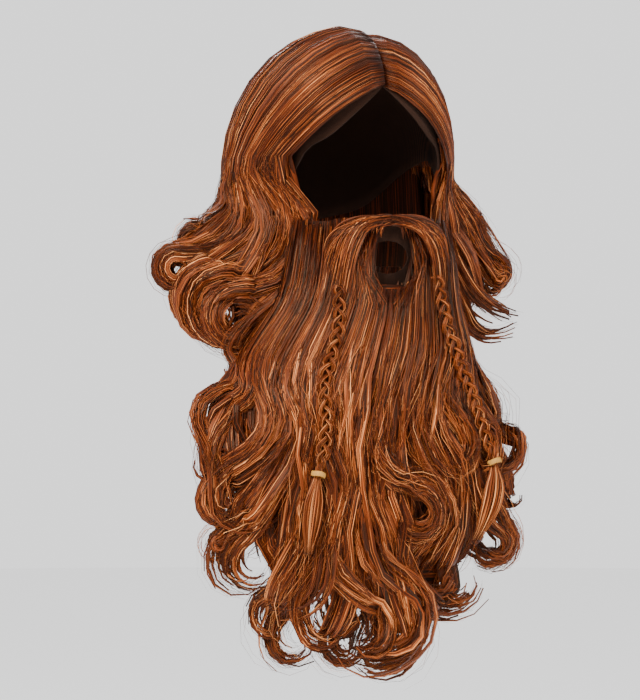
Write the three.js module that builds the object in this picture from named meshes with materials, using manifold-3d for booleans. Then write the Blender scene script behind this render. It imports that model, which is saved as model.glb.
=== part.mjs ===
// A long wavy wig with a centre parting, and a curled full beard with a moustache and
// two plaits, which two straps hang from the wig's cap. Millimetres, Z up, face towards
// -Y. The origin is where the crown of the head meets the inside of the cap.
import * as THREE from "three";
import Module from "manifold-3d";
import { mergeVertices } from "three/addons/utils/BufferGeometryUtils.js";

const wasm = await Module();
wasm.setup();

// The head that the wig is worn on
const headHalfWidth = 78;
const headHalfLength = 98;
const crownHeight = 112; // from ear level up to the crown
const headSquareness = 2.4; // 2 is an ellipsoid, more is boxier
const capColumns = 24;
const capLevels = 5;
const napeTaper = 0.12; // how fast the head narrows below ear level

// The cap and the hair on it
const capWall = 2;
const coarse = 1.2; // edges of the hair that bend less than this are merged
const smoothing = 0.2; // the same, for every piece at the end
const seatGap = 0.35; // between pieces that touch
const partingWidth = 1.8;
const rightLift = 12; // thickness of the hair on the crown, on this side
const leftLift = 8;
const rightBulk = 30; // how much thicker the hair is at ear level, on this side
const leftBulk = 13;
const backBulk = 20;
const edgeBulk = 7; // thickness of the hair along the face
const fallReach = 190; // from the middle to the outermost curl on the shoulder
const fallDrop = 190; // from ear level down to the lowest side curl
const backDrop = 285; // from ear level down to the hem at the back
const backReach = 128; // from the head's middle to the hair at the back
const fallWall = 15; // thickness of the falling hair
const ridge = 3.5; // how far a lock stands above the furrow beside it
const sideCurl = 30; // outer radius of a curl at the shoulder
const curlCore = 0.57; // a curl's middle line, as a share of its outer radius
const curlHalf = 0.42; // half the lock's width in the curl, likewise

// The beard, hung from the cheek line
const cheekDepth = 172; // below the crown
const beardLength = 414;
const beardHalfWidth = 160;
const faceFront = 101; // from the head's middle forward to the upper lip
const beardPlane = 42; // the beard's sides lie this far forward of the head's middle
const baseWall = 1.5;
const baseHeight = 62;
const mouthHalfWidth = 20;
const mouthHalfHeight = 15;
const mouthDepth = 205; // of the mouth's middle, below the crown
const lockThickness = 16;

// The plaits, their ties and the straps
const plaitHalfWidth = 6.5;
const plaitStrand = 3.3; // radius of one of the three strands
const plaitCross = 17; // from one crossing to the next on the same side
const tailLength = 78;
const rightDrift = -12; // sideways from the tie to the tail's end
const leftDrift = -16;
const tieWall = 1.4;
const tieHeight = 5;
const strapWidth = 8;
const strapWall = 1.2;

// How far the cap's edge lies from the crown, as an angle at the head's middle
const capEdge = [
  { azimuth: 0, sweep: 58 },
  { azimuth: 22, sweep: 72 },
  { azimuth: 37, sweep: 81 },
  { azimuth: 53, sweep: 87 },
  { azimuth: 66, sweep: 98 },
  { azimuth: 80, sweep: 98 },
  { azimuth: 95, sweep: 89 },
  { azimuth: 120, sweep: 94 },
  { azimuth: 150, sweep: 110 },
  { azimuth: 180, sweep: 116 },
];
const partingFront = 57; // degrees forward of the crown
const partingBack = -15; // the parting ends behind the crown
const earFront = 60; // azimuth of the hair beside the face, at ear level
const earBack = 116; // azimuth where the side hair meets the back hair

// Locks of each side, from the face backwards: along is the place in the side hair,
// out and fore place the middle of the end curl as shares of fallReach, drop is a share
// of fallDrop and curl, the curl's outer radius, of sideCurl
const rightLocks = [
  { along: 0.0, out: 0.62, fore: 0.2, drop: 0.86, curl: 0.9 },
  { along: 0.16, out: 0.64, fore: 0.12, drop: 0.8, curl: 1.5 },
  { along: 0.26, out: 0.68, fore: 0.08, drop: 1.04, curl: 0.5 },
  { along: 0.4, out: 0.8, fore: 0.04, drop: 0.68, curl: 1.0 },
  { along: 0.53, out: 0.94, fore: 0.0, drop: 0.57, curl: 0.75 },
  { along: 0.68, out: 0.76, fore: -0.12, drop: 0.57, curl: 0.9 },
  { along: 0.84, out: 0.74, fore: -0.26, drop: 0.74, curl: 0.9 },
  { along: 1.0, out: 0.56, fore: -0.4, drop: 0.98, curl: 0.9 },
];
const leftLocks = [
  { along: 0.0, out: 0.56, fore: 0.18, drop: 0.8, curl: 0.8 },
  { along: 0.22, out: 0.76, fore: 0.06, drop: 0.75, curl: 0.8 },
  { along: 0.45, out: 0.73, fore: 0.0, drop: 0.52, curl: 0.7 },
  { along: 0.64, out: 0.68, fore: -0.14, drop: 0.62, curl: 0.9 },
  { along: 0.82, out: 0.66, fore: -0.27, drop: 0.8, curl: 0.9 },
  { along: 1.0, out: 0.56, fore: -0.4, drop: 0.98, curl: 0.9 },
];
// Locks of the back, by azimuth: out is a share of fallReach and drop of backDrop
const backLocks = [
  { azimuth: 113, out: 0.42, drop: 0.8, curl: 0.8 },
  { azimuth: 141, out: 0.28, drop: 0.94, curl: 0.9 },
  { azimuth: 170, out: 0.09, drop: 0.98, curl: 0.85 },
  { azimuth: 195, out: -0.12, drop: 1.0, curl: 0.9 },
  { azimuth: 219, out: -0.28, drop: 0.93, curl: 0.85 },
  { azimuth: 247, out: -0.42, drop: 0.82, curl: 0.8 },
];

// The beard's body: depth is a share of beardLength below the cheek line, sway, half
// and side are shares of beardHalfWidth, and bulge, front and plane of faceFront.
// side and front are the body's thickness at its edge and in its middle.
const beardSections = [
  { depth: 0.0, sway: 0.0, half: 0.465, side: 0.035, bulge: 0.67, front: 0.05, plane: 1.0 },
  { depth: 0.08, sway: 0.0, half: 0.5, side: 0.09, bulge: 0.75, front: 0.14, plane: 1.0 },
  { depth: 0.17, sway: -0.02, half: 0.54, side: 0.14, bulge: 0.81, front: 0.25, plane: 1.0 },
  { depth: 0.28, sway: -0.08, half: 0.68, side: 0.16, bulge: 0.81, front: 0.38, plane: 1.1 },
  { depth: 0.4, sway: -0.14, half: 0.84, side: 0.18, bulge: 0.72, front: 0.42, plane: 1.4 },
  { depth: 0.51, sway: -0.11, half: 0.89, side: 0.18, bulge: 0.68, front: 0.42, plane: 1.6 },
  { depth: 0.62, sway: -0.105, half: 0.88, side: 0.18, bulge: 0.62, front: 0.4, plane: 1.75 },
  { depth: 0.73, sway: -0.1, half: 0.83, side: 0.16, bulge: 0.55, front: 0.36, plane: 1.9 },
  { depth: 0.85, sway: -0.14, half: 0.6, side: 0.14, bulge: 0.42, front: 0.28, plane: 2.1 },
  { depth: 0.93, sway: -0.18, half: 0.36, side: 0.1, bulge: 0.28, front: 0.16, plane: 2.2 },
];
// Locks of the beard: out and drop place the middle of an end curl, as shares of
// beardHalfWidth and beardLength, curl is its outer radius as a share of
// beardHalfWidth, and hand the side it curls towards, 1 to the wearer's left
const beardLocks = [
  { out: -0.82, drop: 0.45, curl: 0.31, hand: -1 },
  { out: -0.82, drop: 0.74, curl: 0.26, hand: 1 },
  { out: -0.62, drop: 0.905, curl: 0.22, hand: 1 },
  { out: -0.16, drop: 0.9, curl: 0.29, hand: -1 },
  { out: -0.34, drop: 0.69, curl: 0.18, hand: 1 },
  { out: 0.12, drop: 0.63, curl: 0.2, hand: -1 },
  { out: 0.32, drop: 0.79, curl: 0.26, hand: 1 },
  { out: 0.68, drop: 0.71, curl: 0.21, hand: -1 },
  { out: 0.6, drop: 0.52, curl: 0.25, hand: -1 },
];
// Each plait's line down the beard: across runs from -1 to 1 round the beard's face,
// and depth is a share of beardLength
const rightPlait = [
  { across: -0.365, depth: 0.145 },
  { across: -0.28, depth: 0.25 },
  { across: -0.25, depth: 0.35 },
  { across: -0.215, depth: 0.45 },
  { across: -0.266, depth: 0.548 },
];
const leftPlait = [
  { across: 0.34, depth: 0.12 },
  { across: 0.43, depth: 0.237 },
  { across: 0.545, depth: 0.395 },
  { across: 0.582, depth: 0.526 },
];
// Moustache locks from under the nose round the mouth's corner, laid like the plaits
const innerLock = [
  { across: 0.0, depth: 0.02 },
  { across: 0.13, depth: 0.022 },
  { across: 0.23, depth: 0.045 },
  { across: 0.3, depth: 0.085 },
  { across: 0.33, depth: 0.125 },
];
const outerLock = [
  { across: 0.02, depth: 0.004 },
  { across: 0.2, depth: 0.006 },
  { across: 0.35, depth: 0.03 },
  { across: 0.43, depth: 0.075 },
  { across: 0.46, depth: 0.14 },
];

const colours = {
  cap: new THREE.Color(0.12, 0.06, 0.035),
  hair: new THREE.Color(0.36, 0.16, 0.07),
  tie: new THREE.Color(0.62, 0.4, 0.13),
  strap: new THREE.Color(0.1, 0.06, 0.04),
};

const up = new THREE.Vector3(0, 0, 1);
const { degToRad, lerp, clamp, smoothstep } = THREE.MathUtils;

// The smooth value of a table's column where the table's key column is at
function between(rows, key, at, column) {
  const last = rows.length - 1;
  let i = 0;
  while (i < last - 1 && rows[i + 1][key] < at) i += 1;
  const slope = (j) => {
    const a = rows[Math.max(j - 1, 0)];
    const b = rows[Math.min(j + 1, last)];
    return (b[column] - a[column]) / (b[key] - a[key]);
  };
  const span = rows[i + 1][key] - rows[i][key];
  const t = clamp((at - rows[i][key]) / span, 0, 1);
  const rise = t * t * (3 - 2 * t);
  const start = t * (1 - t) * (1 - t) * span;
  const end = t * t * (t - 1) * span;
  return lerp(rows[i][column], rows[i + 1][column], rise) + start * slope(i) + end * slope(i + 1);
}

// A point off the head: azimuth runs round from the face and sweep down from the crown
function headPoint(azimuth, sweep, off) {
  const low = sweep > 90;
  const flat = low ? 1 : Math.sin(degToRad(sweep));
  const high = low ? 0 : Math.cos(degToRad(sweep));
  const n = headSquareness;
  const reach = 1 / Math.pow(Math.pow(flat, n) + Math.pow(high, n), 1 / n);
  const below = low ? degToRad(sweep - 90) : 0;
  const round = flat * reach * (1 - napeTaper * below);
  const rise = high * reach;
  const east = Math.sin(degToRad(azimuth));
  const south = -Math.cos(degToRad(azimuth));
  const normal = new THREE.Vector3(
    (Math.pow(round, n - 1) * east) / headHalfWidth,
    (Math.pow(round, n - 1) * south) / headHalfLength,
    Math.pow(rise, n - 1) / crownHeight,
  ).normalize();
  const point = new THREE.Vector3(
    headHalfWidth * round * east,
    headHalfLength * round * south,
    crownHeight * (rise - 1 - below),
  );
  return point.addScaledVector(normal, off);
}

// Joins a grid of points into one closed surface. rows[i][j] is a ring of points, and
// both ends are closed with a fan round their middle.
function ringsToGeometry(rings) {
  const count = rings[0].length;
  const points = rings.flat();
  const faces = [];
  rings.slice(1).forEach((_, i) => {
    for (let j = 0; j < count; j += 1) {
      const a = i * count + j;
      const b = i * count + ((j + 1) % count);
      faces.push(a, b, b + count, a, b + count, a + count);
    }
  });
  const middle = (ring) =>
    ring.reduce((sum, p) => sum.add(p), new THREE.Vector3()).divideScalar(ring.length);
  const top = points.push(middle(rings[0])) - 1;
  const bottom = points.push(middle(rings[rings.length - 1])) - 1;
  const base = (rings.length - 1) * count;
  for (let j = 0; j < count; j += 1) {
    faces.push(top, (j + 1) % count, j);
    faces.push(bottom, base + j, base + ((j + 1) % count));
  }
  return new THREE.BufferGeometry().setFromPoints(points).setIndex(faces);
}

// A wall between two grids of points, closed round its four edges
function wallToGeometry(outer, inner) {
  const rings = outer.map((row, i) => [...row, ...[...inner[i]].reverse()]);
  const n = outer[0].length;
  const count = 2 * n;
  const points = rings.flat();
  const faces = [];
  rings.slice(1).forEach((_, i) => {
    for (let j = 0; j < count; j += 1) {
      const a = i * count + j;
      const b = i * count + ((j + 1) % count);
      faces.push(a, b, b + count, a, b + count, a + count);
    }
  });
  const base = (rings.length - 1) * count;
  for (let j = 0; j < n - 1; j += 1) {
    const [a, b, c, d] = [j, j + 1, count - 2 - j, count - 1 - j];
    faces.push(b, a, d, b, d, c);
    faces.push(base + a, base + b, base + c, base + a, base + c, base + d);
  }
  return new THREE.BufferGeometry().setFromPoints(points).setIndex(faces);
}

// A closed geometry as a solid, turned the right way out
function solid(geometry) {
  const bare = geometry.clone();
  bare.deleteAttribute("normal");
  bare.deleteAttribute("uv");
  const welded = mergeVertices(bare, 1e-3);
  const vertProperties = Float32Array.from(welded.attributes.position.array);
  const triVerts = Uint32Array.from(welded.index.array);
  const make = () => new wasm.Manifold(new wasm.Mesh({ numProp: 3, vertProperties, triVerts }));
  const made = make();
  if (made.volume() > 0) return made;
  for (let i = 0; i < triVerts.length; i += 3) {
    [triVerts[i + 1], triVerts[i + 2]] = [triVerts[i + 2], triVerts[i + 1]];
  }
  return make();
}

// Joins solids and merges the edges that bend less than a size
function merged(solids, size) {
  return joined(solids).asOriginal().simplify(size);
}

// The one body that is wanted, without chips and sealed hollows
function largest(made) {
  return made.decompose().sort((a, b) => b.volume() - a.volume())[0];
}

function joined(solids) {
  return solids.reduce((all, one) => all.add(one));
}

function toMesh(name, made, colour, roughness) {
  const mesh = made.getMesh();
  const places = new Float32Array(mesh.numVert * 3);
  for (let i = 0; i < mesh.numVert; i += 1) {
    const from = i * mesh.numProp;
    places.set(mesh.vertProperties.subarray(from, from + 3), i * 3);
  }
  const geometry = new THREE.BufferGeometry();
  geometry.setAttribute("position", new THREE.BufferAttribute(places, 3));
  geometry.setIndex(new THREE.BufferAttribute(mesh.triVerts, 1));
  geometry.computeVertexNormals();
  const material = new THREE.MeshStandardMaterial({ color: colour, roughness, metalness: 0 });
  const shown = new THREE.Mesh(geometry, material);
  shown.name = name;
  return shown;
}

// A lock swept along points: flat side against outward(i), half width and half
// thickness given by halfWide(t) and halfThick(t), pointed at both ends
function sweepLock(points, outward, halfWide, halfThick, sides) {
  const last = points.length - 1;
  const rings = points.map((p, i) => {
    const t = i / last;
    const ahead = points[Math.min(i + 1, last)];
    const behind = points[Math.max(i - 1, 0)];
    const tangent = ahead.clone().sub(behind).normalize();
    const across = outward(i).clone().cross(tangent).normalize();
    const out = tangent.clone().cross(across).normalize();
    return Array.from({ length: sides }, (_, k) => {
      const a = (2 * Math.PI * k) / sides;
      return p
        .clone()
        .addScaledVector(across, Math.cos(a) * halfWide(t))
        .addScaledVector(out, Math.sin(a) * halfThick(t));
    });
  });
  return solid(ringsToGeometry(rings));
}

function hairThickness(sweep, along, lift, bulk) {
  const full = lift + bulk * smoothstep(sweep, 20, 95);
  return lerp(edgeBulk, full, smoothstep(along, -0.25, 0.3));
}

// A point on the side hair over the cap: side is 1 on the wearer's left, along runs
// from the face backwards and down from the parting to ear level
function scalpPlace(side, along, down) {
  const root = degToRad(lerp(partingFront, partingBack, along));
  const end = degToRad(lerp(earFront, earBack, along));
  const from = new THREE.Vector3(0, -Math.sin(root), Math.cos(root));
  const to = new THREE.Vector3(side * Math.sin(end), -Math.cos(end), 0);
  return placeBetween(from, to, down);
}

// A point on the back hair over the cap: all of it starts at the parting's end
function backPlace(azimuth, down) {
  const root = degToRad(partingBack + 4);
  const end = degToRad(azimuth);
  const from = new THREE.Vector3(0, -Math.sin(root), Math.cos(root));
  const to = new THREE.Vector3(Math.sin(end), -Math.cos(end), 0);
  return placeBetween(from, to, down);
}

// Azimuth and sweep a share of the way round the head from one direction to another
function placeBetween(from, to, share) {
  const angle = from.angleTo(to);
  const d = from
    .clone()
    .multiplyScalar(Math.sin((1 - share) * angle))
    .addScaledVector(to, Math.sin(share * angle));
  const azimuth = THREE.MathUtils.radToDeg(Math.atan2(d.x, -d.y));
  const sweep = THREE.MathUtils.radToDeg(Math.atan2(Math.hypot(d.x, d.y), d.z));
  return { azimuth, sweep };
}

// The line of falling hair from ear level to the start of its end curl
function fallLine(start, tip, approach) {
  const drop = start.z - tip.z;
  const reach = tip.distanceTo(start);
  const first = start.clone().addScaledVector(up, -0.55 * drop);
  const second = tip.clone().addScaledVector(approach, -0.4 * reach);
  return new THREE.CubicBezierCurve3(start, first, second, tip);
}

// Points of an end curl: it leaves tip along heading and winds inwards towards bend
function curlPoints(tip, heading, bend, radius, turns) {
  const ahead = heading.clone().normalize();
  const side = bend.clone().addScaledVector(ahead, -bend.dot(ahead)).normalize();
  const steps = Math.round(turns * 9);
  const core = curlCore * radius;
  return Array.from({ length: steps }, (_, k) => {
    const share = (k + 1) / steps;
    const angle = 2 * Math.PI * turns * share;
    const r = core * (1 - 0.2 * share);
    return tip
      .clone()
      .addScaledVector(side, core - r * Math.cos(angle))
      .addScaledVector(ahead, r * Math.sin(angle));
  });
}

// Everything about one column of side hair, between the rows of its table
function sideColumn(side, rows, along) {
  const row = { side };
  ["out", "fore", "drop", "curl"].forEach((column) => {
    row[column] = between(rows, "along", along, column);
  });
  const place = scalpPlace(side, along, 1);
  const extra = side < 0 ? rightBulk : leftBulk;
  const lift = side < 0 ? rightLift : leftLift;
  const bulk = hairThickness(place.sweep, along, lift, extra);
  const start = headPoint(place.azimuth, 90, capWall + seatGap + bulk);
  const heading = new THREE.Vector3(side * 0.75, 0, -0.66);
  const bend = new THREE.Vector3(side * -0.66, 0, -0.75);
  const radius = row.curl * sideCurl;
  const centre = new THREE.Vector3(
    side * row.out * fallReach,
    -row.fore * fallReach,
    -crownHeight - row.drop * fallDrop,
  );
  const tip = centre.clone().addScaledVector(bend, -curlCore * radius);
  return { line: fallLine(start, tip, heading), bulk, tip, heading, bend, radius };
}

// The side hair: a wall from the parting over the cap and down, with the locks' end
// curls joined to it
function sideHair(side, rows, grow) {
  const columns = 15;
  const scalpSteps = 5;
  const fallSteps = 4;
  const grid = { outer: [], inner: [] };
  const extra = side < 0 ? rightBulk : leftBulk;
  const lift = side < 0 ? rightLift : leftLift;
  for (let i = 0; i <= columns; i += 1) {
    const along = lerp(-grow, 100 + grow, i / columns) / 100;
    const { line, bulk } = sideColumn(side, rows, along);
    const crest = ridge * (i % 3 === 0 ? -1 : 0);
    const outer = [];
    const inner = [];
    for (let j = 0; j <= scalpSteps; j += 1) {
      const down = j / scalpSteps;
      const place = scalpPlace(side, along, Math.max(down, 0.004));
      const nudge = new THREE.Vector3((side * partingWidth * (1 - down)) / 2, 0, 0);
      const thick = hairThickness(place.sweep, along, lift, extra) + crest * down;
      const foot = capWall + seatGap;
      outer.push(headPoint(place.azimuth, place.sweep, foot + thick + grow).add(nudge));
      inner.push(headPoint(place.azimuth, place.sweep, foot - capWall - grow).add(nudge));
    }
    for (let j = 1; j <= fallSteps; j += 1) {
      const t = (0.92 * j) / fallSteps;
      const p = line.getPoint(t);
      const tangent = line.getTangent(t);
      const middle = new THREE.Vector3(0, p.y * 0.4, p.z);
      const away = p.clone().sub(middle);
      away.addScaledVector(tangent, -away.dot(tangent)).normalize();
      const wall = lerp(bulk, fallWall, smoothstep(t, 0, 0.6));
      outer.push(p.clone().addScaledVector(away, crest + grow));
      inner.push(p.clone().addScaledVector(away, -wall - grow));
    }
    grid.outer.push(outer);
    grid.inner.push(inner);
  }
  const wall = solid(wallToGeometry(grid.outer, grid.inner));
  const curls = rows.map((row) => sideLock(side, rows, row, grow));
  return merged([wall, ...curls], coarse);
}

// The end of one side lock, from halfway down its fall to the tip of its curl
function sideLock(side, rows, row, grow) {
  const { line, tip, heading, bend, radius } = sideColumn(side, rows, row.along);
  const fall = [0.45, 0.6, 0.75, 0.88].map((t) => line.getPoint(t));
  const curl = curlPoints(tip, heading, bend, radius, 0.72);
  const outward = () => new THREE.Vector3(side * 0.35, -1, 0.15);
  return curlLock([...fall, tip, ...curl], fall.length, outward, radius, grow);
}

// A lock with an end curl: wide and flat, drawn in where it starts and at its tip
function curlLock(points, steps, outward, radius, grow) {
  const share = steps / (points.length - 1);
  const taper = (t) =>
    lerp(0.6, 1, smoothstep(t, 0, share)) * (1 - 0.4 * smoothstep(t, share + 0.2, 1));
  const wide = (t) => curlHalf * radius * taper(t) + grow;
  const thick = (t) => (lockThickness / 4 + 0.22 * radius) * taper(t) + grow;
  return sweepLock(points, outward, wide, thick, 6);
}

// The back hair: a wall from the parting's end down to the hem, with its end curls
function backHair() {
  const columns = 15;
  const scalpSteps = 5;
  const fallSteps = 4;
  const first = backLocks[0].azimuth;
  const last = backLocks[backLocks.length - 1].azimuth;
  const grid = { outer: [], inner: [] };
  for (let i = 0; i <= columns; i += 1) {
    const azimuth = lerp(first, last, i / columns);
    const { line, bulk } = backColumn(azimuth);
    const crest = ridge * (i % 3 === 0 ? -1 : 0);
    const outer = [];
    const inner = [];
    for (let j = 0; j <= scalpSteps; j += 1) {
      const down = lerp(0.06, 1, j / scalpSteps);
      const place = backPlace(azimuth, down);
      const foot = capWall + seatGap;
      const thick = hairThickness(place.sweep, 1, rightLift, backBulk) + crest * down;
      outer.push(headPoint(place.azimuth, place.sweep, foot + thick));
      inner.push(headPoint(place.azimuth, place.sweep, foot - capWall));
    }
    for (let j = 1; j <= fallSteps; j += 1) {
      const t = j / fallSteps;
      const p = line.getPoint(t);
      const away = new THREE.Vector3(p.x, p.y + 40, 0).normalize();
      const wall = lerp(bulk, fallWall, smoothstep(t, 0, 0.6));
      outer.push(p.clone().addScaledVector(away, crest));
      inner.push(p.clone().addScaledVector(away, -wall));
    }
    grid.outer.push(outer);
    grid.inner.push(inner);
  }
  const wall = solid(wallToGeometry(grid.outer, grid.inner));
  return merged([wall, ...backLocks.map(backLock)], coarse);
}

function backColumn(azimuth) {
  const row = {};
  ["out", "drop"].forEach((column) => {
    row[column] = between(backLocks, "azimuth", azimuth, column);
  });
  const bulk = hairThickness(90, 1, rightLift, backBulk);
  const start = headPoint(azimuth, 90, capWall + seatGap + bulk);
  const tip = new THREE.Vector3(
    row.out * fallReach,
    backReach * Math.sqrt(1 - Math.pow(row.out, 2)) - 0.1 * backReach,
    -crownHeight - row.drop * backDrop,
  );
  const approach = new THREE.Vector3(0, 0, -1);
  return { line: fallLine(start, tip, approach), bulk, tip, approach };
}

function backLock(row) {
  const { line, tip, approach } = backColumn(row.azimuth);
  const radius = row.curl * sideCurl;
  const fall = [0.75, 0.88].map((t) => line.getPoint(t));
  const bend = new THREE.Vector3(row.out < 0 ? -1 : 1, 0.2, 0);
  const curl = curlPoints(tip, approach, bend, radius, 0.6);
  const outward = () => new THREE.Vector3(Math.sin(degToRad(row.azimuth)), 1, 0.1);
  return curlLock([...fall, tip, ...curl], fall.length, outward, radius, 0);
}

function beardSection(depth) {
  const row = {};
  ["sway", "half", "side", "bulge", "front", "plane"].forEach((column) => {
    row[column] = between(beardSections, "depth", depth, column);
  });
  return {
    middle: row.sway * beardHalfWidth,
    half: row.half * beardHalfWidth,
    side: row.side * beardHalfWidth,
    bulge: row.bulge * faceFront,
    front: row.front * faceFront,
    plane: -row.plane * beardPlane,
    level: -cheekDepth - depth * beardLength,
  };
}

// A point off the beard's outer face, across from -1 to 1 between its edges
function beardPoint(across, depth, off) {
  const s = beardSection(depth);
  const angle = (across * Math.PI) / 2;
  return new THREE.Vector3(
    s.middle + (s.half + off) * Math.sin(angle),
    s.plane - (s.bulge + off) * Math.cos(angle),
    s.level,
  );
}

// The beard's own wall, with the ridges of its locks; grow makes it fatter all round
function beardBody(grow) {
  const columns = 14;
  const rim = 0.95 + grow / 90;
  const rings = beardSections.map(({ depth }) => {
    const s = beardSection(depth);
    const raise = depth === 0 ? grow : 0;
    const ring = [];
    for (let j = 0; j <= columns; j += 1) {
      const across = (2 * rim * j) / columns - rim;
      const furrow = (j % 2 === 0 ? 0 : -ridge) * smoothstep(depth, 0, 0.2);
      ring.push(beardPoint(across, depth, furrow + grow).setZ(s.level + raise));
    }
    for (let j = 8; j >= 0; j -= 1) {
      const angle = ((2 * rim * j) / 8 - rim) * (Math.PI / 2);
      ring.push(
        new THREE.Vector3(
          s.middle + (s.half - s.side - grow) * Math.sin(angle),
          s.plane - (s.bulge - s.front - grow) * Math.cos(angle),
          s.level + raise,
        ),
      );
    }
    return ring;
  });
  return solid(ringsToGeometry(rings));
}

// One beard lock, from the beard's face above its end curl to the tip of the curl
function beardLock(row, grow) {
  const radius = row.curl * beardHalfWidth;
  const core = curlCore * radius;
  const s = beardSection(Math.min(row.drop, 0.9));
  const x = row.out * beardHalfWidth;
  const share = clamp((x - s.middle) / s.half, -0.92, 0.92);
  const inset = lockThickness * 0.35;
  const tip = new THREE.Vector3(
    x - row.hand * core,
    s.plane - (s.bulge - inset) * Math.sqrt(1 - share * share),
    -cheekDepth - row.drop * beardLength,
  );
  const rise = 2.2 * radius + 20;
  const rootDepth = Math.max(row.drop - rise / beardLength, 0.14);
  const root = beardPoint(share * 0.85, rootDepth, -inset);
  const line = fallLine(root, tip, new THREE.Vector3(0, 0, -1));
  const fall = [0.3, 0.65].map((t) => line.getPoint(t));
  const bend = new THREE.Vector3(row.hand, 0, 0);
  const curl = curlPoints(tip, new THREE.Vector3(0, -0.1, -1), bend, radius, 0.8);
  const outward = () => new THREE.Vector3(0.4 * share, -1, 0);
  return curlLock([root, ...fall, tip, ...curl], fall.length + 1, outward, radius, grow);
}

// An upright oval prism through the beard where the mouth is
function mouthHole(grow) {
  const oval = new THREE.Shape();
  oval.absellipse(0, 0, mouthHalfWidth + grow, mouthHalfHeight + grow, 0, 2 * Math.PI);
  const geometry = new THREE.ExtrudeGeometry(oval, {
    depth: faceFront,
    bevelEnabled: false,
    curveSegments: 8,
  });
  geometry.rotateX(Math.PI / 2);
  geometry.translate(0, -beardPlane, -mouthDepth);
  return solid(geometry);
}

function beardHair(grow) {
  const locks = beardLocks.map((row) => beardLock(row, grow));
  return merged([beardBody(grow), ...locks], coarse);
}

// The beard's backing: a band round the jaw, just inside the beard's wall
function beardBase() {
  const columns = 20;
  const levels = 4;
  const grid = { outer: [], inner: [] };
  for (let i = 0; i <= levels; i += 1) {
    const depth = (i / levels) * (baseHeight / beardLength);
    const s = beardSection(depth);
    const ring = (off) =>
      Array.from({ length: columns + 1 }, (_, j) => {
        const angle = ((1.9 * j) / columns - 0.95) * (Math.PI / 2);
        return new THREE.Vector3(
          s.middle + (s.half - s.side - off) * Math.sin(angle),
          s.plane - (s.bulge - s.front - off) * Math.cos(angle),
          s.level,
        );
      });
    grid.outer.push(ring(seatGap));
    grid.inner.push(ring(seatGap + baseWall));
  }
  return solid(wallToGeometry(grid.outer, grid.inner)).subtract(mouthHole(0));
}

// The jaw inside the beard's backing, to clear the beard's wall from the backing
function jawSolid() {
  const levels = [-0.05, 0, 0.25, 0.5, 0.75, 1, 1.01];
  const rings = levels.map((level) => {
    const s = beardSection(Math.max(level, 0) * (baseHeight / beardLength));
    return Array.from({ length: 21 }, (_, j) => {
      const angle = ((2 * j) / 20 - 1) * (Math.PI / 2);
      return new THREE.Vector3(
        s.middle + (s.half - s.side) * Math.sin(angle),
        s.plane - (s.bulge - s.front) * Math.cos(angle),
        -cheekDepth - level * baseHeight,
      );
    });
  });
  return solid(ringsToGeometry(rings));
}

// The moustache: locks from under the nose round both sides of the mouth
function moustache(grow) {
  const locks = [-1, 1].flatMap((side) =>
    [innerLock, outerLock].map((rows) => moustacheLock(side, rows, grow)),
  );
  return merged(locks, coarse);
}

function moustacheLock(side, rows, grow) {
  const places = rows.map((row) => beardPoint(side * row.across, row.depth, 1));
  const points = new THREE.CatmullRomCurve3(places).getSpacedPoints(7);
  const outward = (i) => new THREE.Vector3(points[i].x, points[i].y + beardPlane, 0);
  const taper = (t) => 0.5 + 0.5 * Math.sin(Math.PI * clamp(t * 0.8 + 0.15, 0, 1));
  const wide = (t) => 8.5 * taper(t) + grow;
  const thick = (t) => 7 * taper(t) + grow;
  return sweepLock(points, outward, wide, thick, 6);
}

// The line of a plait's middle, lying on the beard's face
function plaitLine(rows) {
  const points = rows.map((row) => beardPoint(row.across, row.depth, plaitStrand));
  return new THREE.CatmullRomCurve3(points);
}

// A tube that holds the whole plait, to cut its bed in the beard
function plaitBed(rows, drift, grow) {
  const line = plaitLine(rows);
  const points = line.getSpacedPoints(14);
  points.unshift(points[0].clone().addScaledVector(line.getTangent(0), -6));
  const outward = () => new THREE.Vector3(0, -1, 0);
  const wide = () => plaitHalfWidth + plaitStrand * 0.8 + grow;
  const thick = () => plaitStrand * 2 + grow;
  const tail = sweepLock(tailPoints(line, drift), outward, wide, thick, 8);
  return sweepLock(points, outward, wide, thick, 8).add(tail);
}

// A plait: three strands that cross in turn, drawn in at the tie, and the loose tail
function plait(rows, drift) {
  const line = plaitLine(rows);
  const length = line.getLength();
  const cycle = 2 * plaitCross;
  const steps = Math.round((length / cycle) * 4.5);
  const strands = [0, 1, 2].map((k) => {
    const points = Array.from({ length: steps + 1 }, (_, i) => {
      const t = i / steps;
      const phase = (2 * Math.PI * t * length) / cycle + (2 * Math.PI * k) / 3;
      const drawn = smoothstep(1 - t, 0, 0.12) * 0.85 + 0.15;
      const side = Math.sin(phase) * (plaitHalfWidth - plaitStrand * 0.4) * drawn;
      const lift = Math.sin(2 * phase) * plaitStrand * 0.55 * drawn;
      const tangent = line.getTangentAt(t);
      const across = new THREE.Vector3(0, -1, 0).cross(tangent).normalize();
      const out = tangent.clone().cross(across).normalize();
      return line.getPointAt(t).addScaledVector(across, side).addScaledVector(out, lift);
    });
    const outward = () => new THREE.Vector3(0, -1, 0);
    const size = (t) => plaitStrand * (0.7 + 0.3 * smoothstep(1 - t, 0, 0.15));
    return sweepLock(points, outward, size, size, 4);
  });
  return merged([...strands, plaitTail(line, drift)], coarse / 2);
}

// Points down the middle of the loose hair below a plait's tie, which bows outwards
function tailPoints(line, drift) {
  const heading = line.getTangentAt(1);
  const start = line.getPointAt(1).addScaledVector(heading, -tieHeight * 1.6);
  const end = start.clone().addScaledVector(up, -tailLength).add({ x: drift, y: -3, z: 0 });
  const bow = start.clone().addScaledVector(heading, tailLength * 0.5);
  return new THREE.QuadraticBezierCurve3(start, bow, end).getPoints(7);
}

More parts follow.
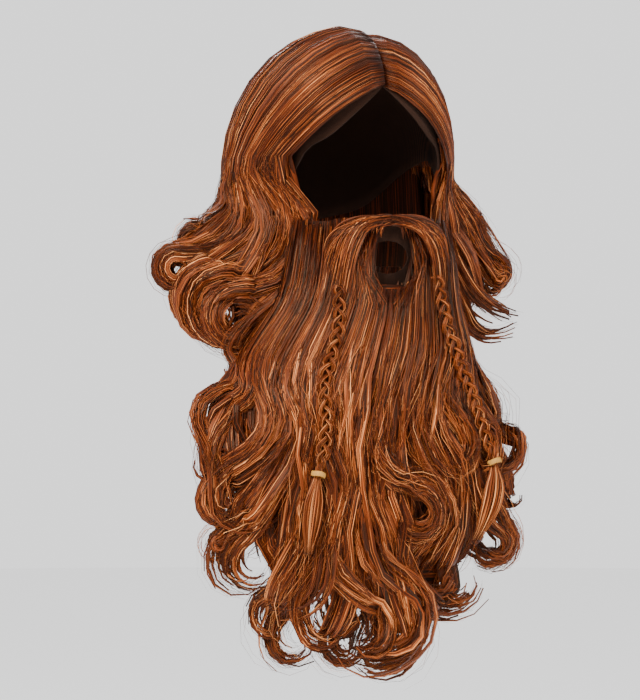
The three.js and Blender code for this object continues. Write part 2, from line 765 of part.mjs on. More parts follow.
function plaitTail(line, drift) {
  const outward = () => new THREE.Vector3(0, -1, 0);
  const swell = (t) => smoothstep(t, 0.1, 0.45) * (1 - 0.75 * smoothstep(t, 0.6, 1));
  const wide = (t) => plaitStrand * 0.8 + plaitHalfWidth * 0.8 * swell(t);
  const thick = (t) => plaitStrand * 0.8 + 1.6 * swell(t);
  return sweepLock(tailPoints(line, drift), outward, wide, thick, 6);
}

// A small elastic ring round a plait's drawn-in end
function plaitTie(rows) {
  const line = plaitLine(rows);
  const bore = plaitStrand * 1.55;
  const half = tieHeight / 2;
  const profile = [
    new THREE.Vector2(bore, -half),
    new THREE.Vector2(bore + tieWall, -half * 0.6),
    new THREE.Vector2(bore + tieWall, half * 0.6),
    new THREE.Vector2(bore, half),
    new THREE.Vector2(bore, -half),
  ];
  const geometry = new THREE.LatheGeometry(profile, 12);
  const turn = new THREE.Quaternion().setFromUnitVectors(
    new THREE.Vector3(0, 1, 0),
    line.getTangentAt(1),
  );
  geometry.applyQuaternion(turn);
  const place = line.getPointAt(1);
  geometry.translate(place.x, place.y, place.z);
  return solid(geometry);
}

// The cap: a dome of stretch net whose edge follows the hairline, the ears and the nape
function cap() {
  const rings = [...capGrid(capWall), ...capGrid(0).reverse()];
  return solid(domeToGeometry(rings));
}

function capGrid(off) {
  return Array.from({ length: capLevels }, (_, i) => capRing((i + 1) / capLevels, off));
}

// The ring of points a share of the way from the crown to the cap's edge
function capRing(share, off) {
  return Array.from({ length: capColumns }, (_, j) => {
    const azimuth = (360 * j) / capColumns;
    const fold = azimuth > 180 ? 360 - azimuth : azimuth;
    const edge = between(capEdge, "azimuth", fold, "sweep");
    return headPoint(azimuth, edge * share, off);
  });
}

// Rings from an outer crown down to a rim and back up to an inner crown
function domeToGeometry(rings) {
  const geometry = ringsToGeometry(rings);
  const places = geometry.attributes.position;
  const crowns = [places.count - 2, places.count - 1];
  places.setXYZ(crowns[0], 0, 0, capWall);
  places.setXYZ(crowns[1], 0, 0, 0);
  return geometry;
}

// The cap and the head in it, a gap fatter all round, down past the cap's edge
function headSolid() {
  const off = capWall + seatGap;
  const rings = capGrid(off);
  rings.push(capRing(1 + 1 / capLevels, off));
  rings.push(capRing(1 + 2 / capLevels, off));
  const geometry = ringsToGeometry(rings);
  const places = geometry.attributes.position;
  places.setXYZ(places.count - 2, 0, 0, off);
  return solid(geometry);
}

// A strap from the cap's ear tab down to the corner of the beard's backing
function strap(side, grow) {
  const azimuth = 72;
  const edge = between(capEdge, "azimuth", azimuth, "sweep");
  const top = headPoint(side * azimuth, edge, capWall / 2);
  top.z -= seatGap;
  const s = beardSection(0);
  const angle = 0.93 * (Math.PI / 2);
  const inset = seatGap + baseWall / 2;
  const bottom = new THREE.Vector3(
    side * (s.half - s.side - inset) * Math.sin(angle),
    s.plane - (s.bulge - s.front - inset) * Math.cos(angle),
    s.level + seatGap,
  );
  const steps = 4;
  const rings = Array.from({ length: steps + 1 }, (_, i) => {
    const p = top.clone().lerp(bottom, i / steps);
    const fore = new THREE.Vector3(0.25 * side, -1, 0).normalize();
    const out = new THREE.Vector3(side, 0.25, 0).normalize();
    return [
      [1, 1],
      [-1, 1],
      [-1, -1],
      [1, -1],
    ].map(([a, b]) =>
      p
        .clone()
        .addScaledVector(fore, a * (strapWidth / 2 + grow))
        .addScaledVector(out, b * (strapWall / 2 + grow)),
    );
  });
  return solid(ringsToGeometry(rings));
}

const mouth = mouthHole(0);
const head = headSolid();
const beds = joined([
  plaitBed(rightPlait, rightDrift, seatGap),
  plaitBed(leftPlait, leftDrift, seatGap),
]);
const beardZone = beardHair(seatGap);
const jaw = jawSolid();
const cut = joined([mouth, moustache(3 * seatGap), beds, jaw]);
const beard = beardHair(0).subtract(cut);
const lipHair = moustache(0).subtract(joined([mouth, beds, jaw]));
const straps = joined([strap(-1, seatGap), strap(1, seatGap)]);
const taken = joined([beardZone, head, straps]);
const rightZone = sideHair(-1, rightLocks, 4 * seatGap);
const leftZone = sideHair(1, leftLocks, 4 * seatGap);
const right = sideHair(-1, rightLocks, 0).subtract(taken);
const left = sideHair(1, leftLocks, 0).subtract(taken);
const back = backHair().subtract(joined([rightZone, leftZone, head]));

const pieces = [
  ["cap", cap(), colours.cap, 0.9],
  ["hair_right", right, colours.hair, 0.5],
  ["hair_left", left, colours.hair, 0.5],
  ["hair_back", back, colours.hair, 0.5],
  ["beard_base", beardBase(), colours.cap, 0.9],
  ["beard_hair", beard, colours.hair, 0.5],
  ["moustache", lipHair, colours.hair, 0.5],
  ["plait_right", plait(rightPlait, rightDrift), colours.hair, 0.5],
  ["plait_left", plait(leftPlait, leftDrift), colours.hair, 0.5],
  ["tie_right", plaitTie(rightPlait), colours.tie, 0.4],
  ["tie_left", plaitTie(leftPlait), colours.tie, 0.4],
  ["strap_right", strap(-1, 0), colours.strap, 0.8],
  ["strap_left", strap(1, 0), colours.strap, 0.8],
];
const wig = new THREE.Group();
pieces.forEach(([name, made, colour, roughness]) => {
  wig.add(toMesh(name, largest(made.asOriginal().simplify(smoothing)), colour, roughness));
});

export default wig;
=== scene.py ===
"""A long wavy wig with a centre parting, and a curled full beard with a moustache and two
plaits. Every lock is made of single hairs and flat wisps: closed three-sided tubes that are
worked out together as arrays. Metres, Z up, face towards -Y, origin where the crown meets the cap."""
import math

import bpy
import numpy as np
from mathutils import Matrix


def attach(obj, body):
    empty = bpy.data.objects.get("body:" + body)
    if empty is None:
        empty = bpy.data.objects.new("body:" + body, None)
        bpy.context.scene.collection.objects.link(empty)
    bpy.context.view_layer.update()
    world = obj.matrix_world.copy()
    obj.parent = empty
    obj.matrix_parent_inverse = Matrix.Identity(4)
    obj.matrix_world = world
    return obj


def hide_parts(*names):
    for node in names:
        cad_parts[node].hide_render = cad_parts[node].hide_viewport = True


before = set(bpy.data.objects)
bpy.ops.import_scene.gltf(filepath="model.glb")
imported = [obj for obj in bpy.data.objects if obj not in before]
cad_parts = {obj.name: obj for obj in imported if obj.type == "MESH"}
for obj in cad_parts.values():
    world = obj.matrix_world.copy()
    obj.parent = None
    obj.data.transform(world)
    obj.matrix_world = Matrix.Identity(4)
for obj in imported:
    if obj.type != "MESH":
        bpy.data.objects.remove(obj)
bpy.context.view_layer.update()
rng = np.random.default_rng(7)
MM = 0.001

# Sizes of the head, the cap and the hair on it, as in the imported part, in millimetres
HEAD = np.array([78.0, 98.0, 112.0])  # half width, half length, crown above ear level
SQUARENESS = 2.4
NAPE_TAPER = 0.12
CAP_WALL = 2.0
SEAT_GAP = 0.35
FOOT = CAP_WALL + SEAT_GAP
PARTING = (57.0, -15.0)  # its front and back, in degrees forward of the crown
EAR = (60.0, 116.0)  # azimuths of the side hair's front and back edge at ear level
EDGE_BULK = 7.0
FALL_REACH = 190.0
BACK_DROP = 285.0
BACK_REACH = 128.0
CHEEK_DEPTH = 172.0
BEARD_LENGTH = 414.0
BEARD_HALF = 160.0
FACE_FRONT = 101.0
BEARD_PLANE = 42.0
PLAIT_HALF = 6.5
PLAIT_STRAND = 3.3
PLAIT_CROSS = 17.0
TAIL_LENGTH = 78.0
TIE_HEIGHT = 5.0

LINE_STEPS = 24  # steps of a smooth line between two of its points

# The picture plane: the camera stands 18 degrees towards the wearer's right
TURN = math.radians(-18)
SIDEWAYS = np.array([math.cos(TURN), math.sin(TURN), 0.0])
TOWARDS = np.array([math.sin(TURN), -math.cos(TURN), 0.0])
UP = np.array([0.0, 0.0, 1.0])

# depth, sway, half, side, bulge, front, plane: the beard's body by depth below the cheeks
BEARD_SECTIONS = np.array([
    (0.0, 0.0, 0.465, 0.035, 0.67, 0.05, 1.0),
    (0.08, 0.0, 0.5, 0.09, 0.75, 0.14, 1.0),
    (0.17, -0.02, 0.54, 0.14, 0.81, 0.25, 1.0),
    (0.28, -0.08, 0.68, 0.16, 0.81, 0.38, 1.1),
    (0.4, -0.14, 0.84, 0.18, 0.72, 0.42, 1.4),
    (0.51, -0.11, 0.89, 0.18, 0.68, 0.42, 1.6),
    (0.62, -0.105, 0.88, 0.18, 0.62, 0.4, 1.75),
    (0.73, -0.1, 0.83, 0.16, 0.55, 0.36, 1.9),
    (0.85, -0.14, 0.6, 0.14, 0.42, 0.28, 2.1),
    (0.93, -0.18, 0.36, 0.1, 0.28, 0.16, 2.2),
])
# azimuth, sweep: the cap's edge
CAP_EDGE = np.array([(0, 58), (22, 72), (37, 81), (53, 87), (66, 98), (80, 98), (95, 89),
                     (120, 94), (150, 110), (180, 116)], float)
# across, depth: the plaits' lines and the moustache's lines on the beard's face
RIGHT_PLAIT = [(-0.365, 0.145), (-0.28, 0.25), (-0.25, 0.35), (-0.215, 0.45), (-0.266, 0.548)]
LEFT_PLAIT = [(0.34, 0.12), (0.43, 0.237), (0.545, 0.395), (0.582, 0.526)]
INNER_LOCK = [(0.0, 0.02), (0.13, 0.022), (0.23, 0.045), (0.3, 0.085), (0.33, 0.125)]
OUTER_LOCK = [(0.02, 0.004), (0.2, 0.006), (0.35, 0.03), (0.43, 0.075), (0.46, 0.14)]

# azimuth, and the tip's reach and drop as shares of FALL_REACH and BACK_DROP: the back locks
BACK_LOCKS = np.array([(113, 0.42, 0.8), (141, 0.28, 0.94), (170, 0.09, 0.98),
                       (195, -0.12, 1.0), (219, -0.28, 0.93), (247, -0.42, 0.82)], float)

# Locks of each side: along the side hair from the face backwards, its half width there, half
# width and half thickness of the lock, its share of hairs, waypoints (across, y, up) in mm
# in the picture plane, and the end curl (across, up, radius, start angle, turns)
RIGHT_LOCKS = [
    (0.03, 0.05, 8, 6, 1,
     [(-48, -54, -141), (-45, -52, -172), (-51, -48, -202), (-70, -44, -224), (-90, -42, -233)],
     (-105, -263, 31, 75, 1.1)),
    (0.07, 0.04, 4, 3, 0.35,
     [(-46, -56, -149), (-41, -55, -179), (-46, -52, -207), (-62, -50, -233), (-84, -48, -253),
     (-104, -48, -272), (-110, -48, -287), (-105, -48, -296)],
     (-110, -305, 9, 25, -0.6)),
    (0.12, 0.06, 9, 6, 1.1,
     [(-57, -46, -139), (-54, -44, -169), (-63, -41, -199), (-86, -38, -219), (-105, -36, -223)],
     (-114, -258, 36, 90, 0.85)),
    (0.22, 0.07, 9, 7, 1.1,
     [(-74, -36, -136), (-68, -35, -163), (-76, -32, -191), (-98, -28, -210), (-119, -26, -218)],
     (-124, -248, 31, 92, 0.75)),
    (0.25, 0.05, 8, 5, 0.7,
     [(-80, -40, -149), (-79, -40, -181), (-90, -38, -212), (-105, -37, -231)],
     (-105, -259, 24, 110, 0.95)),
    (0.32, 0.07, 9, 7, 1,
     [(-90, -22, -132), (-83, -21, -158), (-90, -20, -183), (-110, -18, -202), (-130, -16, -212)],
     (-138, -239, 26, 88, 0.7)),
    (0.42, 0.07, 7, 6, 0.8,
     [(-104, -8, -130), (-98, -8, -153), (-104, -8, -175), (-123, -6, -192), (-143, -4, -198)],
     (-160, -214, 15, 70, 1.3)),
    (0.52, 0.07, 7, 7, 0.8,
     [(-112, 4, -130), (-108, 4, -151), (-115, 4, -169), (-131, 5, -183), (-148, 5, -192)],
     (-163, -215, 19, 85, 1)),
    (0.64, 0.08, 8, 8, 0.8,
     [(-118, 16, -130), (-116, 16, -148), (-123, 15, -163), (-132, 14, -171)],
     (-142, -189, 15, 75, 0.85)),
    (0.76, 0.08, 8, 8, 0.6,
     [(-120, 34, -134), (-123, 34, -154), (-131, 33, -171), (-141, 32, -186)],
     (-148, -205, 15, 60, 0.8)),
    (0.88, 0.08, 9, 8, 0.5,
     [(-117, 58, -139), (-118, 58, -172), (-125, 60, -203), (-130, 60, -228)],
     (-142, -242, 14, 0, -0.6)),
    (0.97, 0.05, 9, 8, 0.4,
     [(-109, 74, -149), (-106, 76, -186), (-109, 78, -223), (-111, 78, -251)],
     (-126, -265, 15, 0, -0.5)),
]
LEFT_LOCKS = [
    (0, 0.05, 6, 4, 0.8,
     [(79, -46, -139), (82, -45, -172), (88, -43, -207), (94, -41, -236), (107, -39, -262),
     (123, -38, -271), (141, -38, -270), (156, -38, -264)],
     None),
    (0.05, 0.05, 7, 5, 0.9,
     [(80, -44, -132), (84, -42, -154), (90, -40, -182), (98, -38, -208), (111, -37, -233),
     (129, -37, -249), (145, -37, -257), (158, -37, -262)],
     None),
    (0.12, 0.05, 6, 5, 0.8,
     [(84, -36, -134), (90, -34, -156), (98, -33, -180), (107, -32, -203), (117, -32, -225),
     (127, -32, -241), (142, -33, -251), (154, -34, -259)],
     None),
    (0.14, 0.06, 7, 6, 1,
     [(86, -28, -128), (93, -25, -149), (104, -22, -169), (112, -18, -190), (124, -15, -205),
     (135, -12, -216)],
     (134, -224, 12, 25, -0.6)),
    (0.2, 0.07, 7, 6, 1,
     [(93, -20, -128), (101, -17, -147), (111, -14, -163), (121, -8, -182), (134, -3, -195)],
     (134, -214, 14, 60, -0.65)),
    (0.32, 0.07, 6, 6, 0.8,
     [(98, -8, -128), (105, -8, -141), (111, -7, -154), (117, -7, -164)],
     (110, -175, 13, 45, -0.65)),
    (0.45, 0.08, 8, 7, 0.7,
     [(99, 8, -130), (107, 9, -149), (117, 11, -169), (127, 13, -184)],
     (133, -214, 16, 70, -0.65)),
    (0.6, 0.08, 8, 7, 0.5,
     [(96, 26, -130), (103, 28, -158), (113, 30, -186), (122, 30, -205)],
     (118, -228, 14, 40, -0.6)),
    (0.75, 0.08, 8, 8, 0.5,
     [(90, 44, -132), (96, 47, -163), (104, 50, -195), (108, 50, -223)],
     (96, -242, 14, 0, -0.6)),
    (0.88, 0.07, 8, 8, 0.4,
     [(82, 60, -134), (88, 63, -167), (92, 66, -209), (93, 66, -242)],
     (80, -261, 14, 0, -0.5)),
    (0.97, 0.05, 8, 8, 0.4,
     [(75, 74, -137), (77, 78, -177), (78, 80, -223), (78, 80, -261)],
     (64, -278, 14, 0, -0.5)),
]
# Locks of the beard: across the beard's face, half width there, height off the face, half
# width, half thickness, share of hairs, waypoints (across, up), and the end curl
BEARD_LOCKS = [
    (-0.88, 0.1, 1, 7, 5, 0.9,
     [(-68, -259), (-77, -289), (-88, -309), (-101, -317), (-118, -321), (-131, -335), (-135, -354),
     (-131, -379), (-128, -407), (-120, -432), (-102, -444), (-81, -446), (-63, -438)],
     None),
    (-0.78, 0.1, 2, 9, 5, 1,
     [(-63, -259), (-69, -291), (-77, -317), (-92, -330), (-110, -337), (-123, -358), (-124, -387),
     (-118, -414), (-107, -431), (-90, -437)],
     None),
    (-0.7, 0.1, 4, 10, 6, 1.2,
     [(-61, -261), (-65, -296), (-69, -328), (-77, -356), (-94, -379), (-110, -397), (-121, -414)],
     (-112, -428, 14, 160, 0.4)),
    (-0.6, 0.1, 3, 9, 6, 1,
     [(-56, -261), (-62, -293), (-63, -326), (-67, -354), (-84, -382), (-101, -403)],
     (-107, -429, 24, 95, 0.55)),
    (-0.52, 0.09, 1, 9, 6, 1.1,
     [(-52, -265), (-57, -307), (-57, -354), (-62, -392), (-74, -420), (-88, -435)],
     (-94, -475, 37, 95, 0.6)),
    (-0.46, 0.08, -2, 8, 6, 0.9,
     [(-49, -270), (-50, -326), (-50, -373), (-59, -408), (-72, -434), (-82, -446)],
     (-90, -478, 25, 95, 0.7)),
    (-0.66, 0.07, 3, 4, 4, 0.4,
     [(-60, -270), (-65, -336), (-80, -392), (-100, -427), (-112, -448)],
     (-120, -463, 10, 80, 1.1)),
    (-0.4, 0.08, 0, 8, 6, 1.1,
     [(-43, -270), (-44, -336), (-40, -401), (-47, -448), (-58, -485), (-69, -507)],
     (-54, -546, 31, 130, 0.62)),
    (-0.34, 0.07, -2, 7, 5, 0.8,
     [(-37, -279), (-37, -345), (-33, -410), (-36, -457), (-47, -493), (-58, -513)],
     (-50, -543, 20, 130, 0.65)),
    (-0.44, 0.08, 3, 7, 5, 0.9,
     [(-46, -270), (-49, -317), (-45, -364), (-50, -418), (-62, -452)],
     (-50, -479, 21, 155, 0.6)),
    (-0.24, 0.08, 5, 7, 5, 1,
     [(-21, -275), (-25, -336), (-20, -392), (-17, -438), (-20, -476), (-34, -504), (-54, -519),
     (-71, -525)],
     None),
    (-0.14, 0.09, 3, 9, 6, 1.1,
     [(-5, -270), (-2, -321), (-6, -373), (-14, -420), (-18, -457), (-10, -493), (9, -515)],
     (17, -543, 26, 75, -0.7)),
    (-0.03, 0.09, 2, 10, 6, 1.2,
     [(9, -270), (13, -321), (9, -373), (7, -429), (21, -474), (43, -502)],
     (19, -540, 42, 30, -0.55)),
    (0.05, 0.08, 0, 9, 6, 1,
     [(21, -275), (24, -326), (21, -382), (21, -438), (31, -478), (43, -506)],
     (18, -545, 32, 25, -0.6)),
    (0.12, 0.08, 4, 8, 6, 1.1,
     [(30, -270), (30, -321), (21, -364), (22, -387), (36, -400)],
     (53, -431, 30, 88, -0.9)),
    (0.18, 0.07, 3, 6, 5, 0.8,
     [(37, -270), (43, -321), (39, -364), (44, -392)],
     (55, -429, 21, 95, -0.9)),
    (0.09, 0.07, 0, 9, 6, 0.9,
     [(26, -279), (32, -336), (37, -387), (43, -462), (54, -496), (67, -521)],
     (89, -504, 29, 215, 0.35)),
    (0.26, 0.08, 2, 8, 6, 1,
     [(47, -270), (50, -317), (53, -354), (68, -384), (90, -407), (103, -432), (102, -466),
     (89, -493)],
     None),
    (0.33, 0.08, 0, 9, 6, 1,
     [(55, -275), (59, -326), (64, -373), (76, -410), (80, -443), (69, -471)],
     (91, -499, 36, 165, 0.55)),
    (0.4, 0.08, 1, 8, 6, 0.9,
     [(64, -275), (71, -326), (82, -373), (95, -410), (97, -448), (84, -474)],
     (93, -499, 22, 150, 0.65)),
    (0.46, 0.08, 4, 7, 5, 0.8,
     [(69, -272), (76, -317), (88, -349), (100, -369)],
     (89, -383, 17, 25, -0.8)),
    (0.58, 0.08, 2, 7, 6, 0.9,
     [(81, -275), (90, -336), (101, -382), (114, -420), (123, -442)],
     (122, -467, 17, 65, -0.7)),
    (0.66, 0.09, 0, 8, 6, 1,
     [(88, -270), (97, -317), (107, -364), (121, -401), (132, -429)],
     (122, -465, 27, 50, -0.65)),
    (0.76, 0.09, 2, 8, 6, 0.9,
     [(93, -270), (100, -307), (111, -339), (122, -362)],
     (112, -390, 20, 25, -0.55)),
    (0.86, 0.1, 0, 8, 6, 1,
     [(97, -265), (105, -294), (118, -319), (132, -339), (139, -362)],
     (118, -375, 31, 15, -0.55)),
    (-0.3, 0.08, 1, 8, 6, 0.9,
     [(-33, -275), (-36, -336), (-40, -400), (-52, -460), (-66, -500)],
     (-66, -530, 22, 100, 0.55)),
    (-0.2, 0.08, 0, 9, 6, 1.1,
     [(-22, -275), (-24, -336), (-18, -400), (-20, -450), (-34, -490), (-42, -515)],
     (-22, -538, 22, 160, 0.6)),
    (-0.08, 0.08, 1, 9, 6, 1,
     [(0, -275), (2, -330), (0, -385), (-4, -440), (-8, -490), (-14, -525)],
     (-2, -550, 18, 150, 0.6)),
    (0.02, 0.08, -1, 9, 6, 0.9,
     [(14, -275), (16, -330), (14, -385), (12, -440), (14, -490), (18, -525)],
     (4, -545, 20, 40, -0.6)),
]


def smoothstep(value, low, high):
    """0 below low, 1 above high, and an S curve between."""
    t = np.clip((np.asarray(value, float) - low) / (high - low), 0, 1)
    return t * t * (3 - 2 * t)


def mix(a, b, t):
    return a + (b - a) * t


def unit(v):
    """Vectors of length one, the same way as v."""
    return v / np.maximum(np.linalg.norm(v, axis=-1, keepdims=True), 1e-12)


def between(table, at):
    """All columns of a table where its first column is at: cubic between the rows, with the
    slope at a row taken from its two neighbours."""
    keys = table[:, 0]
    last = len(keys) - 1
    at = np.asarray(at, float)
    i = np.searchsorted(keys[1:-1], at, side="left")
    after = np.minimum(np.arange(last + 1) + 1, last)
    before = np.maximum(np.arange(last + 1) - 1, 0)
    slope = (table[after] - table[before]) / (keys[after] - keys[before])[:, None]
    span = keys[i + 1] - keys[i]
    t = np.clip((at - keys[i]) / span, 0, 1)[..., None]
    rise = t * t * (3 - 2 * t)
    ends = t * (1 - t) ** 2 * slope[i] + t * t * (t - 1) * slope[i + 1]
    return mix(table[i], table[i + 1], rise) + ends * span[..., None]


def head_point(azimuth, sweep, off):
    """Points off the head, in mm. Above ear level it is a superellipsoid: the girth and the
    rise are the sine and cosine of the sweep, scaled so that their powers of SQUARENESS add
    up to 1. Below ear level it is a drum that narrows with the sweep past 90 degrees."""
    azimuth, sweep, off = np.broadcast_arrays(azimuth, sweep, off)
    low = sweep > 90
    flat = np.where(low, 1.0, np.sin(np.radians(sweep)))
    high = np.where(low, 0.0, np.cos(np.radians(sweep)))
    flat = np.maximum(flat, 1e-9)
    high = np.maximum(high, 0.0)
    reach = (flat ** SQUARENESS + high ** SQUARENESS) ** (-1 / SQUARENESS)
    below = np.where(low, np.radians(sweep - 90), 0.0)
    girth = flat * reach * (1 - NAPE_TAPER * below)
    rise = high * reach
    east = np.sin(np.radians(azimuth))
    south = -np.cos(np.radians(azimuth))
    power = SQUARENESS - 1
    normal = unit(np.stack([girth ** power * east / HEAD[0], girth ** power * south / HEAD[1],
                            rise ** power / HEAD[2]], -1))
    point = np.stack([HEAD[0] * girth * east, HEAD[1] * girth * south,
                      HEAD[2] * (rise - 1 - below)], -1)
    return point + normal * off[..., None]


def great_circle(root, end, share):
    """Azimuth and sweep a share of the way round the head, along the great circle from root,
    degrees forward of the crown, to the azimuth end at ear level."""
    root, end, share = np.broadcast_arrays(np.radians(root), np.radians(end), share)
    start = np.stack([0 * root, -np.sin(root), np.cos(root)], -1)
    stop = np.stack([np.sin(end), -np.cos(end), 0 * end], -1)
    angle = np.arccos(np.clip((start * stop).sum(-1), -1, 1))[..., None]
    part = share[..., None]
    way = np.sin((1 - part) * angle) * start + np.sin(part * angle) * stop
    azimuth = np.degrees(np.arctan2(way[..., 0], -way[..., 1]))
    sweep = np.degrees(np.arctan2(np.hypot(way[..., 0], way[..., 1]), way[..., 2]))
    return azimuth, sweep


def hair_thickness(sweep, along, lift, bulk):
    """Thickness of the hair on the cap: lift at the crown, lift plus bulk at ear level, and
    less towards the face."""
    full = lift + bulk * smoothstep(sweep, 20, 95)
    return mix(EDGE_BULK, full, smoothstep(along, -0.25, 0.3))


def side_scalp(side, along, down, layer):
    """Points of the side hair over the cap: along runs from the face backwards, down from
    the parting to ear level, and layer from the outside (0) in to the cap (1)."""
    lift, bulk = (12.0, 29.0) if side < 0 else (5.0, 9.0)
    azimuth, sweep = great_circle(mix(*PARTING, along), side * mix(*EAR, along),
                                  np.maximum(down, 0.004))
    thick = hair_thickness(sweep, along, lift, bulk)
    raised = 0.6 + 0.4 * smoothstep(down, 0.0, 0.12)
    point = head_point(azimuth, sweep, FOOT + 0.4 + (thick - 0.8) * (1 - layer) * raised)
    point[..., 0] += side * 0.4 * (1 - down)
    return point


def back_scalp(azimuth, down, layer):
    """Points of the back hair over the cap, all of it from the parting's end."""
    place, sweep = great_circle(PARTING[1] + 4, azimuth, down)
    thick = hair_thickness(sweep, 1.0, 12.0, 20.0)
    return head_point(place, sweep, FOOT + 0.4 + (thick - 0.8) * (1 - layer))


def beard_rows(depth):
    """middle, half, side, bulge, front and plane of the beard at a depth, in mm."""
    row = between(BEARD_SECTIONS, np.clip(depth, 0, 0.96))
    scale = np.array([BEARD_HALF, BEARD_HALF, BEARD_HALF, FACE_FRONT, FACE_FRONT, -BEARD_PLANE])
    return np.moveaxis(row[..., 1:] * scale, -1, 0)


def beard_point(across, depth, off):
    """Points off the beard's face: an upright half ellipse at each depth, across from -1 at
    the wearer's right edge to 1 at the left."""
    middle, half, _, bulge, _, plane = beard_rows(depth)
    angle = across * np.pi / 2
    return np.stack(np.broadcast_arrays(
        middle + (half + off) * np.sin(angle), plane - (bulge + off) * np.cos(angle),
        -CHEEK_DEPTH - np.asarray(depth) * BEARD_LENGTH), -1)


def beard_facing(across, up=0.0):
    """The way the beard's face looks at a place across it."""
    angle = across * np.pi / 2
    return np.stack([np.sin(angle), -np.cos(angle), 0 * across + up], -1)


def placed(across, ahead, up):
    """A point by its place in the picture plane and its y: x is where the line of sight
    through across meets y = ahead."""
    x = (across - ahead * SIDEWAYS[1]) / SIDEWAYS[0]
    return np.stack(np.broadcast_arrays(x, ahead, up), -1)


def on_beard(across, up, off):
    """A point of the picture plane on the beard's face: five rounds of reading the face's y
    at the point's x, and x again from that y."""
    depth = (-CHEEK_DEPTH - up) / BEARD_LENGTH
    middle, half, _, bulge, _, plane = beard_rows(depth)
    ahead = plane - bulge
    for _ in range(5):
        x = placed(across, ahead, up)[..., 0]
        share = np.clip((x - middle) / (half + off), -0.93, 0.93)
        ahead = plane - (bulge + off) * np.sqrt(1 - share ** 2)
    return placed(across, ahead, up)


def smooth_line(points):
    """A Catmull-Rom line through points, LINE_STEPS steps between each two."""
    points = np.asarray(points, float)
    padded = np.vstack([2 * points[0] - points[1], points, 2 * points[-1] - points[-2]])
    t = np.linspace(0, len(points) - 1, LINE_STEPS * (len(points) - 1) + 1)
    i = np.minimum(t.astype(int), len(points) - 2)
    f = (t - i)[:, None]
    a, b, c, d = padded[i], padded[i + 1], padded[i + 2], padded[i + 3]
    return 0.5 * (2 * b + (c - a) * f + (2 * a - 5 * b + 4 * c - d) * f ** 2
                  + (3 * b - a - 3 * c + d) * f ** 3)


def curl(centre, radius, start, turns, tighten=0.55):
    """Points of an end curl in the picture plane: a spiral round centre from the angle start
    in degrees, turns to the wearer's left where positive, its radius shrinking by tighten."""
    steps = max(int(abs(turns) * 10), 3)
    share = np.linspace(0, 1, steps + 1)[:, None]
    angle = np.radians(start) + 2 * np.pi * turns * share
    r = radius * (1 - tighten * share)
    flat = np.cos(angle) * SIDEWAYS + np.sin(angle) * UP
    return np.asarray(centre) + r * flat


def measure(line):
    """Running cost along a line, in rings: a ring for each 30 mm and each 0.4 rad of turn."""
    step = np.diff(line, axis=0)
    length = np.linalg.norm(step, axis=1)
    way = unit(step)
    turn = np.arccos(np.clip((way[1:] * way[:-1]).sum(1), -1, 1))
    cost = length / 30
    cost[1:] += turn / 0.4
    return np.concatenate([[0], np.cumsum(cost)]), np.concatenate([[0], np.cumsum(length)])


def sampled(line, outward, at):
    """Places, side vectors, outward vectors and lengths along a line, where at runs 0..1 in
    even rings. The side vector is square to the line and to outward."""
    cost, length = measure(line)
    way = unit(np.gradient(line, axis=0))
    side = unit(np.cross(np.broadcast_to(outward, way.shape), way))
    out = np.cross(way, side)
    flat = (at * cost[-1]).ravel()
    everything = np.concatenate([line, side, out, length[:, None]], 1)
    read = np.stack([np.interp(flat, cost, column) for column in everything.T], -1)
    read = read.reshape(at.shape + (10,))
    return read[..., :3], unit(read[..., 3:6]), unit(read[..., 6:9]), read[..., 9]


def hairs_in_lock(count, clumps):
    """Each hair's place in its lock's cross-section: a clump's middle in the unit disc, and
    an offset from it."""
    angle = rng.uniform(0, 2 * np.pi, clumps)
    reach = np.sqrt(rng.uniform(0, 1, clumps))
    middle = np.stack([reach * np.cos(angle), reach * np.sin(angle)], -1)
    which = rng.integers(0, clumps, count)
    own = rng.normal(0, 0.26, (count, 2))
    return middle[which], own, which


def frizz(at, size):
    """Two waves of random phase for each hair, sideways and outwards, larger at the tip."""
    count = at.shape[0]
    phase = rng.uniform(0, 2 * np.pi, (4, count, 1))
    rate = rng.uniform(4, 9, (4, count, 1))
    waves = np.sin(phase + rate * at)
    amount = size * rng.uniform(0.4, 1.5, (count, 1)) * (1 + 1.2 * smoothstep(at, 0.6, 1))
    return amount * (waves[0] + 0.5 * waves[1]), amount * (waves[2] + 0.5 * waves[3])


class Hairs:
    """Hairs gathered for one piece: middle lines, outward ways, half widths and tones."""

    def __init__(self):
        self.kept = []

    def add(self, path, out, radius, tone, broad, breadth=(3.2, 6.0)):
        """broad is the share of flat wisps among the fine hairs, and breadth their half width
        as a multiple of the radius. The wisps lie a little deeper than the fine hairs."""
        count, rings, _ = path.shape
        flat = rng.uniform(0, 1, (count, 1)) < broad
        wide = np.where(flat, rng.uniform(*breadth, (count, 1)), rng.uniform(0.42, 0.62, (count, 1)))
        tall = np.where(flat, rng.uniform(1.2, 1.9, (count, 1)), 0.6)
        path = path - 1.6 * flat[..., None] * out
        each_ring = (count, rings)
        self.kept.append((path, np.broadcast_to(out, path.shape),
                          np.broadcast_to(radius, each_ring), np.broadcast_to(tone, each_ring),
                          wide, tall))

    def arrays(self):
        return [np.concatenate(each) for each in zip(*self.kept)]


def tone_of(count, rings, which=None, level=0.5, spread=0.1, root=0.12):
    """A hair's tone along its length: its clump's, its own, darker at the root as painted shade where
    the hairs go into the mass of hair, and a little darker at the tip.
    """
    t = np.linspace(0, 1, rings)
    own = rng.normal(0, spread, (count, 1))
    clump = 0 if which is None else rng.normal(0, spread * 0.6, which.max() + 1)[which][:, None]
    # root sets how much painted shade darkens the root; the last tenth of the hair is a little darker
    # as well
    dark = root * (1 - smoothstep(t, 0, 0.25)) + 0.08 * smoothstep(t, 0.9, 1)
    return np.clip(level + own + clump - dark[None], 0.02, 0.98)


